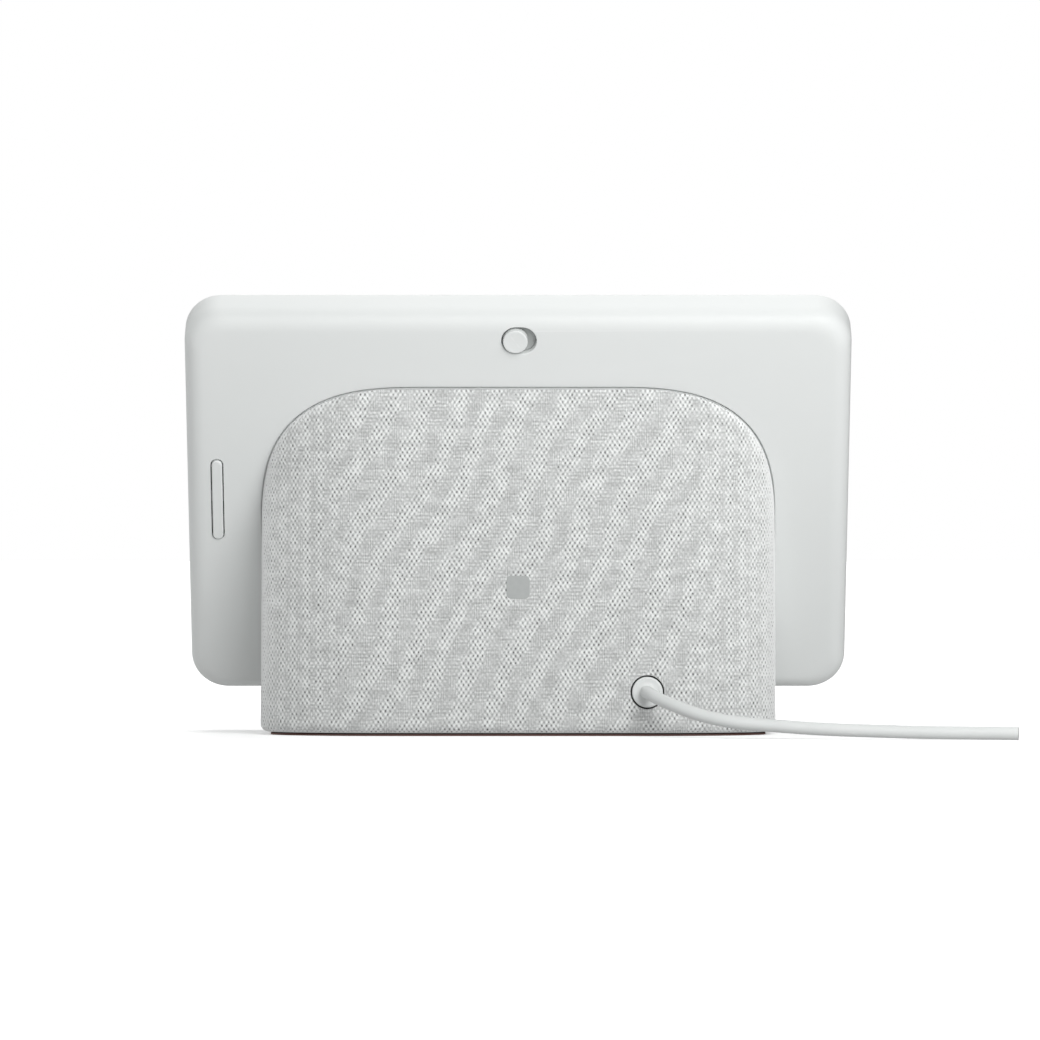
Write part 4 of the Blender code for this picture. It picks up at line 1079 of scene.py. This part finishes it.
def knit_cloth():
    """Heather knit: open stitches in staggered rows, in soft bands between closer and darker cloth.

    Its colour is painted paler where it turns away from the view, a painted sheen.
    """
    shade = Shade("knit_cloth")
    cloth = shade.add("UVMap", uv_map="cloth").outputs[0]
    band = shade.add("Attribute", attribute_name="band").outputs["Fac"]
    lattice, slant, threads, chance = stitch_waves(shade, cloth)
    holes = shade.steps(lattice, HOLE_FROM, 1.0)
    holes = shade.times(holes, shade.ramp(chance, 0, 1, *HOLE_CHANCE))
    lean = shade.ramp(shade.noise(0.0025, 1.0, where=cloth), 0.35, 0.65, -LEAN_MOST, LEAN_MOST)
    crossing = shade.times_plus(slant, lean, shade.times(lattice, -1.0))
    yarn = shade.steps(crossing, -0.2, 1.0)
    mottle = shade.noise(0.0018, 3.0, where=cloth)
    mask = shade.times_plus(shade.minus(mottle, 0.5), 1.6, band)
    mask = shade.steps(mask, 0.1, 0.9, OPEN_LEAST, 1.0)
    open_stitch = shade.times_plus(yarn, YARN_LIGHT, OPEN_TONE)
    open_stitch = shade.times_plus(holes, -HOLE_DARK, open_stitch)
    close_stitch = CLOSE_TONE
    for thread, size, stretch in zip(threads, (2 * MM, 2.5 * MM), ((1, 0.4, 1), (0.4, 1, 1))):
        amount = shade.ramp(shade.noise(size, 2.0, stretch, cloth), 0.4, 0.65, 0.0, THREAD_TONE)
        close_stitch = shade.times_plus(thread, amount, close_stitch)
    value = shade.add("Mix", {0: mask, 2: close_stitch, 3: open_stitch}, data_type="FLOAT").outputs[0]
    fibres = shade.noise(0.0006, 3.0, where=cloth)
    along = shade.noise(0.0016, 2.0, (0.25, 1.0, 1.0), cloth)
    heather = shade.noise(0.0035, 3.0, where=cloth)
    for source, spread in ((fibres, FIBRE_SPREAD), (along, ALONG_SPREAD), (heather, HEATHER_SPREAD)):
        factor = shade.ramp(source, 0.25, 0.75, 1 - spread, 1 + spread)
        value = shade.times(value, factor)
    # Painted sheen: the colour is made paler where the surface turns away from the view
    facing = shade.add("LayerWeight", {"Blend": 0.5}).outputs["Facing"]
    facing = shade.calc("POWER", facing, PAINTED_SHEEN_POWER)
    value = shade.times(value, shade.times_plus(facing, PAINTED_SHEEN_LIFT, 1.0))
    value = shade.calc("MINIMUM", value, TONE_MOST)
    red = shade.times(value, RED_SHARE)
    blue = shade.times(value, BLUE_SHARE)
    colour = shade.add("CombineColor", {0: red, 1: value, 2: blue})
    shade.set(Base_Color=colour.outputs[0], Roughness=shade.ramp(fibres, 0, 1, 0.85, 1.0))
    shade.set(Sheen_Weight=1.0, Sheen_Roughness=0.4, Specular_IOR_Level=0.1)
    height = shade.minus(shade.times_plus(fibres, 0.4, yarn), holes)
    shade.grain(height, 0.00006, 0.5)
    return shade.material


def matt(name, pair, tone, gloss, rough, grain, depth, strength=0.5):
    """A drift between two tones, a varying gloss and a grain, each of its own size."""
    shade = Shade(name)
    rough = shade.ramp(shade.noise(*gloss), *rough)
    shade.set(Base_Color=shade.tones(shade.noise(*tone), pair), Roughness=rough)
    shade.grain(shade.noise(*grain), depth, strength)
    return shade


def soft_cord(name):
    """Soft white cord jacket, which lets a little light in."""
    gloss = (0.3, 0.7, 0.42, 0.55)
    shade = matt(name, CORD_TONES, (10 * MM,), (3 * MM, 3.0), gloss, (0.5 * MM,), 0.01 * MM)
    shade.set(Subsurface_Weight=0.05, Subsurface_Radius=(2 * MM,) * 3, Subsurface_Scale=0.5)
    return shade.material


def coral_rubber():
    grain = (0.6 * MM, 3.0), 0.03 * MM, 0.6
    return matt("coral_rubber", FOOT_TONES, (4 * MM, 3.0), (1 * MM,), (0, 1, 0.6, 0.8), *grain).material


def mark_finish():
    grain = (0.3 * MM,), 0.02 * MM
    return matt("mark_finish", MARK_TONES, (1.2 * MM, 3.0), (0.8 * MM,), (0, 1, 0.5, 0.7), *grain).material


def flag_finish():
    """Orange where the knob covers the plate, and the grey of the recess round it."""
    shade = plain("flag_orange_fine", *FLAG_TONES, (0.45, 0.6), 0, 0.002)
    orange = shade.shader.inputs["Base Color"].links[0].from_socket
    low = slab_box("mute_knob")[0]
    x, up = slab_place("mute_knob")
    knob = SLAB @ Vector((x, low[1], up))
    away = shade.add("VectorMath", {0: shade.place, 1: knob}, operation="SUBTRACT").outputs[0]
    across = shade.add("VectorMath", {0: away, 1: SLAB.col[1].xyz}, operation="CROSS_PRODUCT")
    reach = shade.add("VectorMath", {0: across.outputs[0]}, operation="LENGTH").outputs["Value"]
    radius = slab_half("mute_knob")[0]
    outside = shade.steps(reach, radius - FLAG_FROM, radius - FLAG_TO)
    shade.set(Base_Color=shade.mix(outside, orange, tint(RECESS_GREY)))
    return shade


def plain(name, dark, light, rough, metallic=0.0, size=0.004, stretch=(1, 1, 1), depth=0.00002):
    """A drifting tone, a varying gloss and a fine grain, all from noise of one size."""
    shade = Shade(name)
    tone = shade.noise(size, 3.0, stretch)
    shade.set(Base_Color=shade.mix(tone, (*dark, 1), (*light, 1)), Metallic=metallic)
    shade.set(Roughness=shade.ramp(tone, 0.3, 0.7, *rough))
    shade.grain(shade.noise(size / 6, 3.0, stretch), depth, 0.6)
    return shade


def striped(name, dark, light, rough, pitch, axis, metallic=0.0):
    """A finish of even lines, such as windings, tracks or threads, across one axis."""
    shade = Shade(name)
    inputs = {"Vector": shade.place, "Scale": 1 / (pitch * 20), "Distortion": 0.4, "Detail": 1.0}
    lines = shade.add("TexWave", inputs, bands_direction=axis).outputs["Fac"]
    shade.set(Base_Color=shade.mix(lines, (*dark, 1), (*light, 1)), Metallic=metallic)
    shade.set(Roughness=shade.ramp(lines, 0, 1, *rough))
    shade.grain(lines, STRIPE_DEPTH, 0.6)
    return shade


def inner_finishes():
    """One finish for each slot of the CAD nodes that stay."""
    insert = [tint(tone)[:3] for tone in INSERT_TONES]
    made = {"flag_orange": flag_finish()}
    for slot, *values in (
        ("screen_black", (0.006, 0.006, 0.008), (0.014, 0.014, 0.017), (0.1, 0.2)),
        ("gasket_black", (0.07,) * 3, (0.11,) * 3, (0.75, 0.95), 0, 0.001, (1, 1, 1), 0.00008),
        ("insert_grey", *insert, (0.5, 0.65), 0, 0.002),
        ("frame_plastic", (0.035, 0.035, 0.04), (0.06, 0.06, 0.065), (0.5, 0.7), 0, 0.003),
        ("sheet_steel", (0.48, 0.48, 0.50), (0.66, 0.66, 0.68), (0.25, 0.42), 1.0, 0.002, (1, 12, 1)),
        ("plate_aluminium", (0.66, 0.67, 0.69), (0.80, 0.81, 0.83), (0.3, 0.45), 1.0, 0.002, (12, 1, 1)),
        ("cone_paper", (0.03, 0.03, 0.033), (0.07, 0.07, 0.075), (0.8, 1.0), 0, 0.0012, (1, 1, 1), 0.0001),
        ("surround_rubber", (0.010,) * 3, (0.025,) * 3, (0.55, 0.75)),
        ("wire_red", (0.42, 0.02, 0.02), (0.60, 0.04, 0.04), (0.4, 0.6)),
        ("wire_black", (0.015,) * 3, (0.03,) * 3, (0.4, 0.6)),
    ):
        made[slot] = plain(slot + "_fine", *values)
    for slot, *values in (
        ("board_green", (0.010, 0.10, 0.045), (0.03, 0.20, 0.09), (0.3, 0.5), 0.0011, "DIAGONAL"),
        ("spider_cloth", (0.42, 0.27, 0.09), (0.62, 0.44, 0.18), (0.8, 1.0), 0.0007, "DIAGONAL"),
        ("coil_copper", (0.50, 0.20, 0.08), (0.85, 0.45, 0.25), (0.25, 0.4), 0.0003, "Y", 1.0),
        ("flex_amber", (0.34, 0.14, 0.03), (0.58, 0.30, 0.08), (0.3, 0.5), 0.0009, "X"),
    ):
        made[slot] = striped(slot + "_fine", *values)
    return made


def finish_cad_nodes():
    """Gives each CAD node that stays the finish of its slot."""
    slots = {part["node"]: part["material_slot"] for part in frame["record"]["subparts"]}
    finishes = inner_finishes()
    for name, node in NODES.items():
        if node.hide_render:
            continue
        made = finishes[slots[name]].material
        for slot in node.material_slots:
            slot.material = made


# ---- studio ----


def from_object(degrees, elevation):
    """Direction from the object, turned from the camera's axis towards -X, and raised."""
    turn, rise = math.radians(degrees), math.radians(elevation)
    return Vector((-math.sin(turn) * math.cos(rise), math.cos(turn) * math.cos(rise), math.sin(rise)))


def floor():
    """A pale floor with soft shadows near the object, and a light from below with a painted contact shadow.
    """
    corners = [(x * FLOOR_HALF, y * FLOOR_HALF, 0) for x, y in ((-1, -1), (1, -1), (1, 1), (-1, 1))]
    plane = solid("floor", (corners, [(0, 1, 2, 3)]))
    shade = Shade("floor_pale")
    pale, paler = FLOOR_SEEN - 0.01, FLOOR_SEEN
    tone = shade.mix(shade.noise(0.4, 2.0), (pale, pale, pale, 1), (paler, paler, paler, 1))
    shade.set(Base_Color=tone, Roughness=0.95, Specular_IOR_Level=0.0)
    reach = shade.add("VectorMath", {0: shade.place}, operation="LENGTH").outputs["Value"]
    lift = shade.steps(reach, FLOOR_NEAR, FLOOR_FAR, FLOOR_LIFT, 1.0)
    shade.set(Emission_Color=(1, 1, 1, 1), Emission_Strength=lift)
    dim = shade.add("BsdfDiffuse", {"Color": (FLOOR_BOUNCE, FLOOR_BOUNCE, FLOOR_BOUNCE, 1)})
    # Painted contact shadow: the light the floor gives off is dimmed near the object
    strength = shade.ramp(reach, GLOW_NEAR, GLOW_FAR, GLOW_LEAST, GLOW_MOST)
    glow = shade.add("Emission", {"Strength": strength})
    below = shade.add("AddShader", {0: dim.outputs[0], 1: glow.outputs[0]})
    out = shade.tree.nodes["Material Output"]
    shade.join(shade.camera_only(shade.shader.outputs[0], below.outputs[0]), out.inputs["Surface"])
    plane.data.materials.append(shade.material)


def sky():
    """White to the camera; for light, a faint dome with soft lobes."""
    world = bpy.data.worlds.new("studio")
    bpy.context.scene.world = world
    world.use_nodes = True
    wiring = Wiring(world.node_tree)
    wiring.tree.nodes.clear()
    facing = wiring.add("TexCoord").outputs["Generated"]
    level = SKY_AROUND
    for degrees, elevation, sharpness, strength in SKY_LOBES:
        inputs = {0: facing, 1: from_object(degrees, elevation)}
        toward = wiring.add("VectorMath", inputs, operation="DOT_PRODUCT").outputs["Value"]
        lobe = wiring.calc("POWER", wiring.calc("MAXIMUM", toward, 0.0), sharpness)
        level = wiring.times_plus(lobe, strength, level)
    dome = wiring.add("Background", {0: (0.985, 1.0, 0.995, 1), 1: level})
    white = wiring.add("Background", {0: (1, 1, 1, 1), 1: 1.0})
    out = wiring.add("OutputWorld")
    wiring.join(wiring.camera_only(white.outputs[0], dome.outputs[0]), out.inputs[0])


def softbox(name, degrees, elevation, distance, size, power, reflected):
    """A square lamp aimed at the middle of the object."""
    lamp = bpy.data.lights.new(name, "AREA")
    lamp.energy = power
    lamp.size = size
    made = linked(name, lamp)
    away = from_object(degrees, elevation)
    made.location = away * distance + Vector((0, 0, middle(CAD_LOW[2], CAD_HIGH[2])))
    made.rotation_euler = away.to_track_quat("Z", "Y").to_euler()
    made.visible_camera = False
    made.visible_glossy = reflected


def camera():
    """Level with the middle of the object, behind it, with a long lens."""
    lens = bpy.data.cameras.new("camera")
    lens.lens = LENS_LENGTH
    lens.sensor_width = SENSOR_WIDTH
    made = linked("camera", lens)
    made.location = CAMERA_PLACE
    made.rotation_euler = (math.pi / 2, 0, math.pi)
    bpy.context.scene.camera = made


for build in (display_shell, display_pane, mute_button, volume_key, fabric_cover, fabric_mark, foot_pad):
    build()
for build in (plug_body, cord_body, finish_cad_nodes, floor, sky, camera):
    build()
for settings in SOFTBOXES:
    softbox(*settings)
bpy.context.scene.view_settings.view_transform = "Standard"
